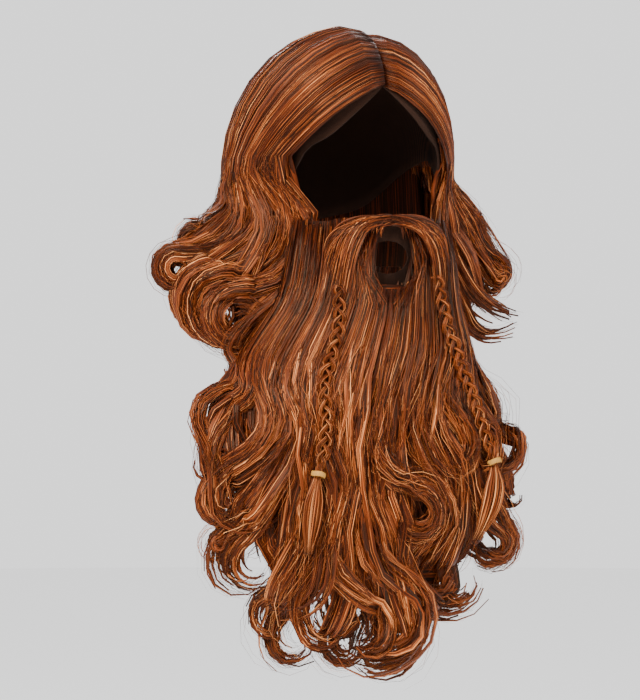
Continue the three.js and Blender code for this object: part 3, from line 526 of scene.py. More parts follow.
def thinning(count, rings, size, start=0.5):
    """A hair's radius: it grows from the root, stays, and thins to a fine tip."""
    t = np.linspace(0, 1, rings)
    shape = mix(start, 1, smoothstep(t, 0, 0.12)) * mix(1, 0.22, smoothstep(t, 0.72, 1.0))
    return size * rng.uniform(0.8, 1.2, (count, 1)) * shape[None]


def hair_mesh(name, hairs):
    """One mesh of many closed three-sided tubes. Each ring is a low triangle, wide across the
    hair or wisp and raised in its middle, square to the middle line with its ridge outwards, and
    turned a little about the line by a slow wave of its own. Quads join the rings and a
    triangle closes each end."""
    path, out, radius, tone, wide, tall = hairs.arrays()
    count, rings, _ = path.shape
    way = unit(np.gradient(path, axis=1))
    side = unit(np.cross(out, way))
    rise = np.cross(way, side)
    turn = rng.normal(0, 0.35, (count, 1)) + 0.3 * np.sin(
        rng.uniform(0, 6.3, (count, 1)) + np.linspace(0, 5, rings)[None])
    turned = np.cos(turn)[..., None] * side + np.sin(turn)[..., None] * rise
    rise = np.cross(way, turned)
    a = np.array([1.0, 0.0, -1.0])
    b = np.array([-0.25, 0.6, -0.25])
    points = (path[:, :, None] + (turned * (radius * wide)[..., None])[:, :, None] * a[:, None]
              + (rise * (radius * tall)[..., None])[:, :, None] * b[:, None]) * MM
    return tube_mesh(name, points, np.repeat(tone[:, :, None], 3, 2), 0.5 + 0.5 * a,
                     2 * wide * radius.mean(1, keepdims=True))


def tube_mesh(name, points, tone, across, breadth):
    """Closed tubes from points[tube, ring, round], with two maps. OFBake lays each tube on a
    strip of its own, by ring and by the place across it; strand gives the length along it in
    parts of 50 mm, and a number for each tube plus the place across it in mm."""
    count, rings, around, _ = points.shape
    index = np.arange(count * rings * around).reshape(count, rings, around)
    ahead = np.roll(index, -1, 2)
    quads = np.stack([index[:, :-1], ahead[:, :-1], ahead[:, 1:], index[:, 1:]], -1)
    quads = quads.reshape(count, -1, 4)
    bottom = index[:, 0, ::-1]
    top = index[:, -1]
    loops = np.concatenate([quads.reshape(count, -1), bottom, top], 1)
    sizes = np.concatenate([np.full(quads.shape[1], 4), [around, around]])
    starts = np.concatenate([[0], np.cumsum(sizes)[:-1]])
    starts = (np.arange(count)[:, None] * sizes.sum() + starts).ravel()
    step = np.linalg.norm(np.diff(points[:, :, 0], axis=1), axis=-1)
    length = np.concatenate([np.zeros((count, 1)), np.cumsum(step, 1)], 1) / 0.05
    length = np.repeat(length[:, :, None], around, 2).ravel()
    number = np.arange(count)[:, None, None] * 17.3
    place = np.broadcast_to(across, (count, rings, around))
    strand = np.stack([length, (place * breadth[:, :, None] + number).ravel()], -1)[loops.ravel()]
    # The bake map, where an end's triangle leans a little so that it has an area
    columns = max(1, int(math.sqrt(count / 60)))
    lines = -(-count // columns)
    column, line = np.divmod(np.arange(count), lines)
    ring = np.broadcast_to(np.arange(rings)[:, None] / (rings - 1), (rings, around)).copy()
    u = (column[:, None, None] + 0.04 + 0.92 * ring) / columns
    v = (line[:, None, None] + 0.15 + 0.7 * place) / lines
    bake = np.stack([u, v], -1).reshape(-1, 2)[loops.ravel()]
    bake = bake.reshape(count, -1, 2)
    lean = np.where(np.arange(around) == 1, 0.02, 0.0) / columns
    bake[:, -2 * around:-around, 0] += lean[::-1]
    bake[:, -around:, 0] -= lean
    mesh = bpy.data.meshes.new(name)
    mesh.vertices.add(points.size // 3)
    mesh.vertices.foreach_set("co", points.astype(np.float32).ravel())
    mesh.loops.add(loops.size)
    mesh.loops.foreach_set("vertex_index", loops.astype(np.int32).ravel())
    mesh.polygons.add(len(starts))
    mesh.polygons.foreach_set("loop_start", starts.astype(np.int32))
    mesh.update(calc_edges=True)
    mesh.polygons.foreach_set("use_smooth", np.ones(len(starts), bool))
    # The two long edges of each hair are sharp, so a wisp is shaded as a gently arched ribbon
    pairs = np.zeros(2 * len(mesh.edges), np.int32)
    mesh.edges.foreach_get("vertices", pairs)
    low, high = np.sort(pairs.reshape(-1, 2), 1).T
    sharp = mesh.attributes.new("sharp_edge", "BOOLEAN", "EDGE")
    sharp.data.foreach_set("value", (high - low == around) & (low % around != 1))
    shade = mesh.attributes.new("tone", "FLOAT", "POINT")
    shade.data.foreach_set("value", tone.astype(np.float32).ravel())
    for title, flat in (("OFBake", bake), ("strand", strand)):
        layer = mesh.uv_layers.new(name=title)
        layer.data.foreach_set("uv", flat.astype(np.float32).ravel())
    piece = bpy.data.objects.new(name, mesh)
    bpy.context.collection.objects.link(piece)
    return piece


def solid_grid(name, outer, inner):
    """A closed wall between two grids of points (rows, columns), in mm: each row is a ring
    that runs out along the outer grid and back along the inner one."""
    rows, columns, _ = outer.shape
    ring = np.concatenate([outer, inner[:, ::-1]], 1) * MM
    around = 2 * columns
    index = np.arange(rows * around).reshape(rows, around)
    ahead = np.roll(index, -1, 1)
    quads = np.stack([index[:-1], ahead[:-1], ahead[1:], index[1:]], -1).reshape(-1, 4)
    j = np.arange(columns - 1)
    base = index[-1, 0]
    top = np.stack([j + 1, j, around - 1 - j, around - 2 - j], -1)
    bottom = base + np.stack([j, j + 1, around - 2 - j, around - 1 - j], -1)
    faces = np.concatenate([quads, top, bottom])
    mesh = bpy.data.meshes.new(name)
    mesh.from_pydata(ring.reshape(-1, 3).tolist(), [], faces.tolist())
    mesh.update()
    volume = signed_volume(ring.reshape(-1, 3), faces)
    if volume < 0:
        mesh.flip_normals()
    mesh.polygons.foreach_set("use_smooth", np.ones(len(faces), bool))
    # The strand map runs along each row, and 8 mm per row across
    vertex = np.zeros(len(mesh.loops), np.int32)
    mesh.loops.foreach_get("vertex_index", vertex)
    row, column = np.divmod(vertex, around)
    share = np.minimum(column, around - 1 - column)
    strand = mesh.uv_layers.new(name="strand")
    strand.data.foreach_set("uv", np.stack([share * 0.4, row * 8.0], -1).astype(np.float32).ravel())
    # Every point gets a tone of 0.3, darker than the hairs: painted shade in the depths of the hair
    shade = mesh.attributes.new("tone", "FLOAT", "POINT")
    shade.data.foreach_set("value", np.full(rows * around, 0.3, np.float32))
    piece = bpy.data.objects.new(name, mesh)
    bpy.context.collection.objects.link(piece)
    return piece


def grid_piece(name, points, faces):
    """A smooth piece from points in mm and faces, turned the right way out."""
    mesh = bpy.data.meshes.new(name)
    mesh.from_pydata((points * MM).tolist(), [], faces)
    quads = np.array([face if len(face) == 4 else (*face, face[-1]) for face in faces])
    if signed_volume(points, quads) < 0:
        mesh.flip_normals()
    mesh.polygons.foreach_set("use_smooth", np.ones(len(faces), bool))
    mesh.update()
    piece = bpy.data.objects.new(name, mesh)
    bpy.context.collection.objects.link(piece)
    return piece


def torus_piece(name, points):
    """A closed band from points[around, round]: quads that wrap both ways."""
    rows, columns, _ = points.shape
    index = np.arange(rows * columns).reshape(rows, columns)
    next_row = np.roll(index, -1, 0)
    quads = np.stack([index, np.roll(index, -1, 1), np.roll(next_row, -1, 1), next_row], -1)
    return grid_piece(name, points.reshape(-1, 3), quads.reshape(-1, 4).tolist())


def dome_piece(name, rings, top, bottom):
    """A closed dome from rings that run from its outer crown to the rim and back to its inner
    crown, with a fan at each crown."""
    rows, columns, _ = rings.shape
    index = np.arange(rows * columns).reshape(rows, columns)
    ahead = np.roll(index, -1, 1)
    quads = np.stack([index[:-1], ahead[:-1], ahead[1:], index[1:]], -1).reshape(-1, 4).tolist()
    first, last = rows * columns, rows * columns + 1
    fans = [[first, b, a] for a, b in zip(index[0].tolist(), ahead[0].tolist())]
    fans += [[last, a, b] for a, b in zip(index[-1].tolist(), ahead[-1].tolist())]
    points = np.concatenate([rings.reshape(-1, 3), top[None], bottom[None]])
    return grid_piece(name, points, quads + fans)


def signed_volume(points, quads):
    """Six times a closed mesh's volume, positive where its faces point outwards."""
    a, b, c, d = (points[quads[:, k]] for k in range(4))
    return (np.cross(b - a, c - a) * a).sum() + (np.cross(c - a, d - a) * a).sum()


def lock_line(start, way, turn, ahead=None):
    """A lock's middle line from its start points through its waypoints into its end curl."""
    points = [np.asarray(start, float), np.asarray(way, float)]
    if turn is not None:
        across, up, radius, angle, turns = turn
        depth = points[1][-1][1] if ahead is None else ahead
        centre = placed(across, depth, up)
        points.append(curl(centre, radius, angle, turns))
    return smooth_line(np.vstack(points))


def lock_outward(side, along):
    """The way a side lock faces: to the front, or to the side for the locks at its rear."""
    return unit(np.array([side * 0.5, -1, 0.1]) if along < 0.6 else np.array([side, 0.1, 0.1]))


def lock_spread(at, width, thick, mid, own):
    """Offsets of the hairs from their lock's line: the clump's place in the section, and the
    hair's own, which opens out towards the tip."""
    close = mix(1.0, 1.25, smoothstep(at, 0.5, 1.0))
    taper = mix(1.0, 0.85, smoothstep(at, 0.55, 1.0))
    e = mid[:, None, :] * taper[..., None] + own[:, None, :] * close[..., None]
    return e[..., 0] * width, e[..., 1] * thick


def ripple(length, count, size, wave, start):
    """The lock's own soft wave, sideways or outwards: a sine of the length along it that grows from its
    start, nearly in step from hair to hair."""
    phase = rng.uniform(0, 2 * np.pi) + rng.normal(0, 0.35, (count, 1))
    grow = smoothstep(length, start, start + 60)
    return size * grow * np.sin(2 * np.pi * length / wave + phase)


def side_hairs(hairs, side, row, count, scalp_rings, rings, down_from, stop, layers, size, broad):
    """Hairs of one side lock. Over the cap they follow the cap's great circles, side by side;
    below ear level they pass in 60 mm from a straight drop into the lock's line and its
    curl."""
    along, half, width, thick, _, way, turn = row
    mid, own, which = hairs_in_lock(count, max(3, count // 7))
    even = rng.permutation(np.linspace(-1, 1, count))[:, None]
    sideways = mix(even * 1.15, mid[:, :1] + own[:, :1], 0.35)
    place = np.clip(along + side * half * sideways, -0.02, 1.02)
    layer = np.clip(mix(*layers, rng.uniform(0, 1, (count, 1))), 0, 0.95)
    down = np.linspace(down_from, 1, scalp_rings + 1)[None, :-1]
    over = side_scalp(side, place, down, layer)
    over_out = unit(over - np.array([0.0, 0.0, -70.0]))
    middle = np.array([0.45])
    head = [side_scalp(side, np.array([along]), np.array([d]), middle)[0] for d in (0.8, 0.9, 1)]
    line = lock_line(head, placed(*np.array(way, float).T), turn)[2 * LINE_STEPS:]
    fall = rings - scalp_rings
    end = rng.uniform(*stop, (count, 1))
    at = end * np.linspace(0, 1, fall)[None]
    spot, across, out, length = sampled(line, lock_outward(side, along), at)
    wide, deep = lock_spread(at, width, thick, mid, own)
    wobble, lift = frizz(at, 1.1)
    wide = wide + ripple(length, count, 3.0, 120, 10) + wobble * smoothstep(at, 0, 0.4)
    deep = deep + ripple(length, count, 3.5, 88, 12) + lift * smoothstep(at, 0, 0.4)
    lock = spot + across * wide[..., None] + out * deep[..., None]
    edge = side_scalp(side, place, np.array([[0.94, 1.0]]), layer)
    drop = unit(edge[:, 1] - edge[:, 0])[:, None]
    plain = edge[:, 1:] + drop * length[..., None]
    blend = smoothstep(length, 0, 62)[..., None]
    path = np.concatenate([over, mix(plain, lock, blend)], 1)
    out = np.concatenate([over_out, unit(mix(over_out[:, -1:], out, blend))], 1)
    hairs.add(path, out, thinning(count, rings, size), tone_of(count, rings, which), broad)


def back_tip(azimuth):
    """Where the back lock at an azimuth ends, on an ellipse round the head's lower back."""
    _, reach, drop = between(BACK_LOCKS, azimuth)
    return np.array([reach * FALL_REACH, BACK_REACH * math.sqrt(1 - reach ** 2) - 13,
                     -HEAD[2] - drop * BACK_DROP])


def back_cubic(start, tip, t):
    """Points of a cubic curve that leaves start straight down, for 0.55 of the drop, and
    comes into tip from above, for 0.4 of the distance."""
    first = start - np.array([0, 0, 0.55 * (start[2] - tip[2])])
    second = tip + np.array([0, 0, 0.4 * np.linalg.norm(tip - start)])
    return ((1 - t) ** 3 * start + 3 * t * (1 - t) ** 2 * first + 3 * t * t * (1 - t) * second
            + t ** 3 * tip)


def back_hairs(hairs, azimuth, count, rings, size):
    """Hairs of one lock of the back: from the parting's end over the cap, then down a cubic
    to the hem, and round an end curl that turns outwards."""
    side = 1 if azimuth < 180 else -1
    tip = back_tip(azimuth)
    mid, own, which = hairs_in_lock(count, max(3, count // 7))
    place = azimuth + 11 * (mid[:, :1] + own[:, :1])
    layer = np.clip(0.1 + 0.35 * (0.5 - 0.5 * mid[:, 1:]), 0, 0.9)
    over = back_scalp(place, np.linspace(0.08, 1, 7)[None, :-1], layer)
    edge = back_scalp(place, np.array([[0.94, 1.0]]), layer)
    start = back_scalp(np.array([azimuth]), np.array([1.0]), np.array([0.25]))[0]
    way = back_cubic(start, tip, np.linspace(0.2, 0.92, 5)[:, None])
    way[:, 0] += side * 7 * np.sin(np.arange(5) * 1.7)
    core = rng.uniform(14, 20)
    angle = np.linspace(0, 2 * np.pi * 0.62, 8)[:, None]
    bend = np.array([side * 1.0, 0.15, 0.0])
    shrink = 1 - 0.4 * np.linspace(0, 1, 8)[:, None]
    end = tip + bend * core + core * shrink * (-np.cos(angle) * bend - np.sin(angle) * UP)
    line = smooth_line(np.vstack([start[None], way, end]))
    at = rng.uniform(0.8, 1.0, (count, 1)) * np.linspace(0, 1, rings - 6)[None]
    outward = unit(np.array([math.sin(math.radians(azimuth)), 1.0, 0.1]))
    spot, across, out_way, length = sampled(line, outward, at)
    wide, deep = lock_spread(at, 12, 6, mid, own)
    wobble, lift = frizz(at, 1.4)
    sign = 1 if (across[0, 0] @ np.array([math.cos(math.radians(azimuth)), 0, 0])) > 0 else -1
    wide = sign * wide + ripple(length, count, 6.0, 125, 20) + wobble
    deep = deep + ripple(length, count, 4.0, 105, 20)
    lock = spot + across * wide[..., None] + out_way * (deep + lift)[..., None]
    drop_way = unit(edge[:, 1] - edge[:, 0])[:, None]
    plain = edge[:, 1:] + drop_way * length[..., None]
    path = np.concatenate([over, mix(plain, lock, smoothstep(length, 0, 80)[..., None])], 1)
    facing = unit(path - np.array([0.0, -10.0, 0.0]) - np.array([0.0, 0.0, 1.0]) * np.minimum(
        path[..., 2:], -70.0))
    hairs.add(path, facing, thinning(count, rings, size),
              tone_of(count, rings, which, level=0.45), 0.35)


def beard_hairs(hairs, row, count, rings, size, level=0.5, stop=(0.74, 1.0), broad=0.22):
    """Hairs of one beard lock. From the cheek line they lie side by side on the beard's
    face and pass round the mouth; between depths of 0.28 and 0.42 they pass into the lock's
    line and its curl."""
    across, half, off, width, thick, _, way, turn = row
    roots = 0.122 if abs(across) < 0.13 else -0.008
    way = np.array(way, float)
    first = (-CHEEK_DEPTH - way[0, 1]) / BEARD_LENGTH - 0.03
    start = [beard_point(across, d, off) for d in np.linspace(roots, first, 4)]
    middle = on_beard(way[:, 0], way[:, 1], off)
    line = lock_line(start, middle, None)
    if turn is not None:
        spot = on_beard(np.float64(turn[0]), np.float64(turn[1]), off - 2)
        line = lock_line(start, middle, turn, spot[1])
    mid, own, which = hairs_in_lock(count, max(3, count // 7))
    begin = rng.uniform(0, 0.05, (count, 1))
    end = rng.uniform(*stop, (count, 1))
    at = begin + (end - begin) * np.linspace(0, 1, rings)[None]
    outward = unit(np.array([0.5 * across, -1.0, 0.05]))
    spot, sideways, out, length = sampled(line, outward, at)
    wide, deep = lock_spread(at, width, thick, mid, own)
    depth = (-CHEEK_DEPTH - spot[..., 2]) / BEARD_LENGTH
    grow = smoothstep(depth, 0.25, 0.5)
    wobble, lift = frizz(at, 1.3)
    wide = wide + ripple(length, count, 5.5, 110, 110) + wobble * grow
    deep = deep + ripple(length, count, 4.5, 92, 95) + lift * grow
    lock = spot + sideways * wide[..., None] + out * deep[..., None]
    place = across + half * 1.3 * (mid[:, :1] + own[:, :1])
    clear = 0.22 * np.sqrt(np.clip(1 - ((depth - 0.08) / 0.07) ** 2, 0, 1))
    place = np.where(place < 0, -1, 1) * np.maximum(np.abs(place), clear + 0.2 * np.abs(place))
    sunk = 2.6 * (mid[:, 1:] + own[:, 1:]) + 0.8
    lay = beard_point(np.clip(place, -0.97, 0.97), np.clip(depth, -0.006, 0.6),
                      off * grow + sunk - 1.5 * (1 - smoothstep(at, 0, 0.05)))
    path = mix(lay, lock, smoothstep(depth, 0.27, 0.42)[..., None])
    facing = beard_facing(place, 0.1)
    out = unit(mix(facing, out, smoothstep(depth, 0.27, 0.42)[..., None]))
    # root=0.16: the painted shade at the beard's roots, stronger than on the head
    hairs.add(path, out, thinning(count, rings, size, 0.7),
              tone_of(count, rings, which, level=level, root=0.16), broad)


def fill_rows(number):
    """Under-locks of the beard: even places across it, a soft wave down its face, and end
    curls to both sides in turn, at depths that follow its lower outline."""
    rows = []
    for k in range(number):
        across = mix(-0.9, 0.9, k / (number - 1))
        hand = 1 if k % 2 else -1
        end = 0.86 - 0.42 * abs(across) ** 2.2 - 0.06 * (k % 3)
        depths = np.linspace(0.3, end, 6)
        spot = beard_point(across * (1 - 0.15 * depths), depths, -8)
        swing = 6 * np.sin(depths * 22 + k * 1.3)
        flat = spot @ SIDEWAYS + swing
        radius = 13 + 4 * (k % 3)
        turn = (flat[-1] + hand * radius, spot[-1, 2], radius, 180 if hand > 0 else 0, 0.6 * hand)
        rows.append((across, 0.1, -8, 11, 5, 1.0, list(zip(flat, spot[:, 2])), turn))
    return rows


def material(name):
    made = bpy.data.materials.new(name)
    made.use_nodes = True
    tree = made.node_tree
    return made, tree, tree.nodes["Principled BSDF"]


def node(tree, kind, **inputs):
    made = tree.nodes.new(kind)
    for key, value in inputs.items():
        made.inputs[key.replace("_", " ")].default_value = value
    return made


def ramp(tree, stops):
    made = tree.nodes.new("ShaderNodeValToRGB")
    elements = made.color_ramp.elements
    while len(elements) < len(stops):
        elements.new(0.5)
    for element, (place, colour) in zip(elements, stops):
        element.position = place
        element.color = (*colour, 1)
    return made


HAIR_STOPS = [
    (0.0, (0.003, 0.0003, 0.00005)),
    (0.3, (0.026, 0.0028, 0.0003)),
    (0.52, (0.095, 0.0145, 0.002)),
    (0.75, (0.26, 0.065, 0.013)),
    (1.0, (0.66, 0.28, 0.1)),
]


def hair_material(name, roughness):
    """Chestnut synthetic hair: a ramp from near black brown to copper over each hair's tone,
    with streaks finer than the modelled hairs, stretched along them on the strand map, in
    the colour and the bump."""
    made, tree, shader = material(name)
    tone = tree.nodes.new("ShaderNodeAttribute")
    tone.attribute_name = "tone"
    strand = tree.nodes.new("ShaderNodeUVMap")
    strand.uv_map = "strand"
    stretch = node(tree, "ShaderNodeMapping", Scale=(0.45, 1.6, 1))
    noise = node(tree, "ShaderNodeTexNoise", Scale=1.0, Detail=2.0, Roughness=0.65)
    tree.links.new(strand.outputs["UV"], stretch.inputs["Vector"])
    tree.links.new(stretch.outputs["Vector"], noise.inputs["Vector"])
    spread = node(tree, "ShaderNodeMath")
    spread.operation = "MULTIPLY_ADD"
    spread.inputs[1].default_value = 2.8
    spread.inputs[2].default_value = -1.55
    tree.links.new(noise.outputs["Fac"], spread.inputs[0])
    add = node(tree, "ShaderNodeMath")
    tree.links.new(spread.outputs[0], add.inputs[0])
    tree.links.new(tone.outputs["Fac"], add.inputs[1])
    colours = ramp(tree, HAIR_STOPS)
    tree.links.new(add.outputs[0], colours.inputs["Fac"])
    tree.links.new(colours.outputs["Color"], shader.inputs["Base Color"])
    bump = node(tree, "ShaderNodeBump", Strength=0.9, Distance=0.0009)
    tree.links.new(noise.outputs["Fac"], bump.inputs["Height"])
    tree.links.new(bump.outputs["Normal"], shader.inputs["Normal"])
    shader.inputs["Roughness"].default_value = roughness
    shader.inputs["Specular IOR Level"].default_value = 0.17
    shader.inputs["Specular Tint"].default_value = (1.0, 0.66, 0.42, 1)
    return made


def woven_material(name, dark, light, scale, roughness):
    """A fine net: two crossing wave patterns for colour and bump."""
    made, tree, shader = material(name)
    place = tree.nodes.new("ShaderNodeTexCoord")
    wave = node(tree, "ShaderNodeTexWave", Scale=scale, Distortion=0.4)
    cross = node(tree, "ShaderNodeTexWave", Scale=scale, Distortion=0.4)
    cross.bands_direction = "Z"
    both = node(tree, "ShaderNodeMath")
    both.operation = "MULTIPLY"
    colours = ramp(tree, [(0.0, dark), (1.0, light)])
    bump = node(tree, "ShaderNodeBump", Strength=0.5, Distance=0.0006)
    for made_wave, slot in ((wave, 0), (cross, 1)):
        tree.links.new(place.outputs["Object"], made_wave.inputs["Vector"])
        tree.links.new(made_wave.outputs["Fac"], both.inputs[slot])
    tree.links.new(both.outputs[0], colours.inputs["Fac"])
    tree.links.new(both.outputs[0], bump.inputs["Height"])
    tree.links.new(colours.outputs["Color"], shader.inputs["Base Color"])
    tree.links.new(bump.outputs["Normal"], shader.inputs["Normal"])
    shader.inputs["Roughness"].default_value = roughness
    shader.inputs["Specular IOR Level"].default_value = 0.12
    return made


def dress(piece, finish, node_name):
    """Gives a piece its finish and slot and the part's body, and hides the CAD node it stands for."""
    piece.data.materials.append(finish)
    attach(piece, "root")
    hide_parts(node_name)


# Camera and light
camera = bpy.data.objects.new("camera", bpy.data.cameras.new("camera"))
bpy.context.collection.objects.link(camera)
camera.data.sensor_fit = "HORIZONTAL"
camera.data.sensor_width = 36
camera.data.lens = 180.6
AIM = np.array([-0.02844, 0.00924, -0.2888])
camera.location = AIM + 3.0 * TOWARDS
camera.rotation_euler = (math.pi / 2, 0, TURN)
bpy.context.scene.camera = camera


def area_light(name, azimuth, height, distance, size, power):
    """A square soft light that faces the beard's middle, azimuth round from the face."""
    angle = math.radians(azimuth)
    lamp = bpy.data.lights.new(name, "AREA")
    lamp.size = size
    lamp.energy = power
    holder = bpy.data.objects.new(name, lamp)
    spot = np.array([math.sin(angle) * distance, -math.cos(angle) * distance, height])
    target = np.array([0, 0, -0.25])
    way = target - spot
    yaw = math.atan2(way[1], way[0]) - math.pi / 2
    pitch = math.atan2(way[2], math.hypot(way[0], way[1])) + math.pi / 2
    holder.location = spot
    holder.rotation_euler = (pitch, 0, yaw)
    bpy.context.collection.objects.link(holder)


area_light("key_light", -48, 1.2, 2.2, 0.8, 215)
area_light("fill_light", 42, 0.7, 2.4, 1.0, 70)
area_light("crown_light", 5, 2.2, 1.3, 0.8, 15)
area_light("back_light", 165, 1.2, 2.2, 1.2, 90)
world = bpy.data.worlds.new("studio")
world.use_nodes = True
world.node_tree.nodes["Background"].inputs["Color"].default_value = (1, 1, 1, 1)
world.node_tree.nodes["Background"].inputs["Strength"].default_value = 1.5
bpy.context.scene.world = world

# The floor, far below the hair
angles = np.linspace(0, 2 * np.pi, 97)[:-1]
floor_mesh = bpy.data.meshes.new("floor")
floor_mesh.from_pydata(np.stack([9 * np.cos(angles), 9 * np.sin(angles), 0 * angles - 1.1],
                                -1).tolist(), [], [list(range(96))])
floor = bpy.data.objects.new("floor", floor_mesh)
bpy.context.collection.objects.link(floor)
pale, _, pale_shader = material("pale_floor")
pale_shader.inputs["Base Color"].default_value = (0.9, 0.9, 0.9, 1)
pale_shader.inputs["Roughness"].default_value = 0.9
floor.data.materials.append(pale)

hair_finish = hair_material("chestnut_hair", 0.4)
# The cores wear the hair finish at a dark tone: painted shade in the depths of the hair
core_shade_finish = hair_material("painted_shade_hair_core", 0.7)
net_finish = woven_material("brown_net", (0.004, 0.0012, 0.0005), (0.045, 0.016, 0.006), 420, 0.95)
strap_finish = woven_material("woven_strap", (0.02, 0.01, 0.007), (0.08, 0.045, 0.03), 900, 0.8)
elastic_finish = woven_material("amber_elastic", (0.2, 0.085, 0.012), (0.48, 0.27, 0.06), 500, 0.45)


def core_piece(name, outer, inner, node_name):
    """The dark mass inside a body of hair, painted shade in the hair's depths: a closed wall a little
    under its hairs.
    """
    dress(solid_grid(name, outer, inner), core_shade_finish, node_name)


def side_core(side, rows, name):
    """Columns of the side hair's core: the cap's great circles at half the hair's thickness,
    then the locks' lines to before their curls, 4 mm in; the inner wall is 8 mm in."""
    outer, inner = [], []
    for row in rows:
        along, _, _, _, _, way, turn = row
        down = np.linspace(0.03, 1, 9)
        place = np.full(9, along)
        over = side_scalp(side, place, down, np.full(9, 0.5))
        under = side_scalp(side, place, down, np.full(9, 0.85))
        line = lock_line(list(over[-3:]), placed(*np.array(way, float).T), turn)[2 * LINE_STEPS:]
        at = np.linspace(0.1, 0.42, 5)[None]
        spot, _, out, _ = sampled(line, lock_outward(side, along), at)
        outer.append(np.vstack([over, spot[0] - 4 * out[0]]))
        inner.append(np.vstack([under, spot[0] - 8 * out[0]]))
    core_piece(name + "_core", np.array(outer), np.array(inner), name)


def back_core():
    """The back hair's core: great circles from the parting's end at 0.55 of the hair's
    thickness, then the back locks' cubics, 2 mm in; the inner wall is at 0.85 and 8 mm in."""
    azimuths = np.linspace(113, 247, 14)
    down = np.linspace(0.08, 1, 7)
    rim, rim_in = (np.array([back_scalp(np.full(7, a), down, np.full(7, layer)) for a in azimuths])
                   for layer in (0.55, 0.85))
    fall = []
    for azimuth in azimuths:
        start = back_scalp(np.array([azimuth]), np.array([1.0]), np.array([0.55]))[0]
        fall.append(back_cubic(start, back_tip(azimuth), np.linspace(0.15, 0.9, 6)[:, None]))
    fall = np.array(fall)
    inward = unit(fall * np.array([1, 1, 0]) + np.array([0, 40, 0]))
    core_piece("hair_back_core", np.concatenate([rim, fall - 2 * inward], 1),
               np.concatenate([rim_in, fall - 8 * inward], 1), "hair_back")


def beard_core():
    """The beard's core: its face 14 mm and 24 mm in, narrower towards its lower end."""
    places, levels = np.meshgrid(np.linspace(-1, 1, 22), np.linspace(0.14, 0.8, 12))
    across = np.interp(levels, [0.14, 0.45, 0.65, 0.8], [0.84, 0.8, 0.7, 0.42]) * places
    core_piece("beard_core", beard_point(across, levels, -14.0),
               beard_point(across, levels, -24.0), "beard_hair")


def beard_rear_hairs(hairs, place, count, rings):
    """Hairs of the beard's rear: at one place across its face, 26 mm in, from a depth of 0.1
    down to a hem that rises towards the edges, narrowing and swaying in a sine of depth."""
    own = rng.normal(0, 0.05, (count, 1))
    hem = rng.uniform(0.55, 0.96, (count, 1)) - 0.3 * abs(place) ** 2
    depth = mix(0.1, hem, np.linspace(0, 1, rings)[None])
    narrow = np.interp(depth, [0.14, 0.5, 0.75, 0.96], [0.9, 0.92, 0.86, 0.7])
    across = np.clip(place + own, -0.92, 0.92) * narrow
    across = across + 0.03 * np.sin(depth * 24 + place * 9 + rng.normal(0, 0.4, (count, 1)))
    path = beard_point(across, depth, -26 + rng.normal(0, 1.5, (count, 1)))
    # A tone of 0.4, below the beard's 0.5: painted shade at the beard's rear
    hairs.add(path, -beard_facing(across), thinning(count, rings, 0.75),
              tone_of(count, rings, level=0.4), 0.6)


def moustache_hairs(hairs, side, count, ends, drops, swell, rings=14):
    """Hairs from under the nose outwards: across runs from the middle to an end in ends along
    a curve that slows down, depth falls with the power 2.3 of the length by a drop in drops,
    the shorter the hair the deeper, and a sine lifts them by up to swell."""
    t = np.linspace(0, 1, rings)[None]
    root = rng.uniform(-0.035, 0.1, (count, 1))
    end = rng.uniform(*ends, (count, 1))
    share = (end - ends[0]) / (ends[1] - ends[0])
    low = mix(*drops, np.clip(1 - share + rng.normal(0, 0.25, (count, 1)), 0, 1))
    across = side * mix(root, end, 1 - (1 - t) ** 1.9)
    depth = rng.uniform(-0.012, 0.012, (count, 1)) + low * t ** 2.3
    arch = np.sin(np.pi * np.clip(t * 0.85 + 0.1, 0, 1))
    off = 2 + swell * arch * rng.uniform(0.4, 1, (count, 1))
    # root=0.2: the strongest painted shade at the roots, at the moustache's middle
    hairs.add(beard_point(across, depth, off), beard_facing(across), thinning(count, rings, 0.55),
              tone_of(count, rings, root=0.2), 0.2, (1.6, 3.0))


def plait_line(rows, proud, rings=44):
    """Middle points of a plait, even along its line on the beard's face, with their headings,
    side and outward vectors, and the line's length. Towards its lower end it comes forward by
    up to proud, to lie on the locks."""
    rows = np.array(rows)
    forward = (1 + proud * np.linspace(0, 1, len(rows))[:, None] ** 1.6) * TOWARDS
    line = smooth_line(beard_point(rows[:, 0], rows[:, 1], PLAIT_STRAND) + forward)
    step = np.concatenate([[0], np.cumsum(np.linalg.norm(np.diff(line, axis=0), axis=1))])
    at = np.linspace(0, 1, rings) * step[-1]
    middle = np.stack([np.interp(at, step, line[:, k]) for k in range(3)], -1)
    way = unit(np.gradient(middle, axis=0))
    sideways = unit(np.cross([0.0, -1.0, 0.0], way))
    return middle, way, sideways, np.cross(way, sideways), step[-1]


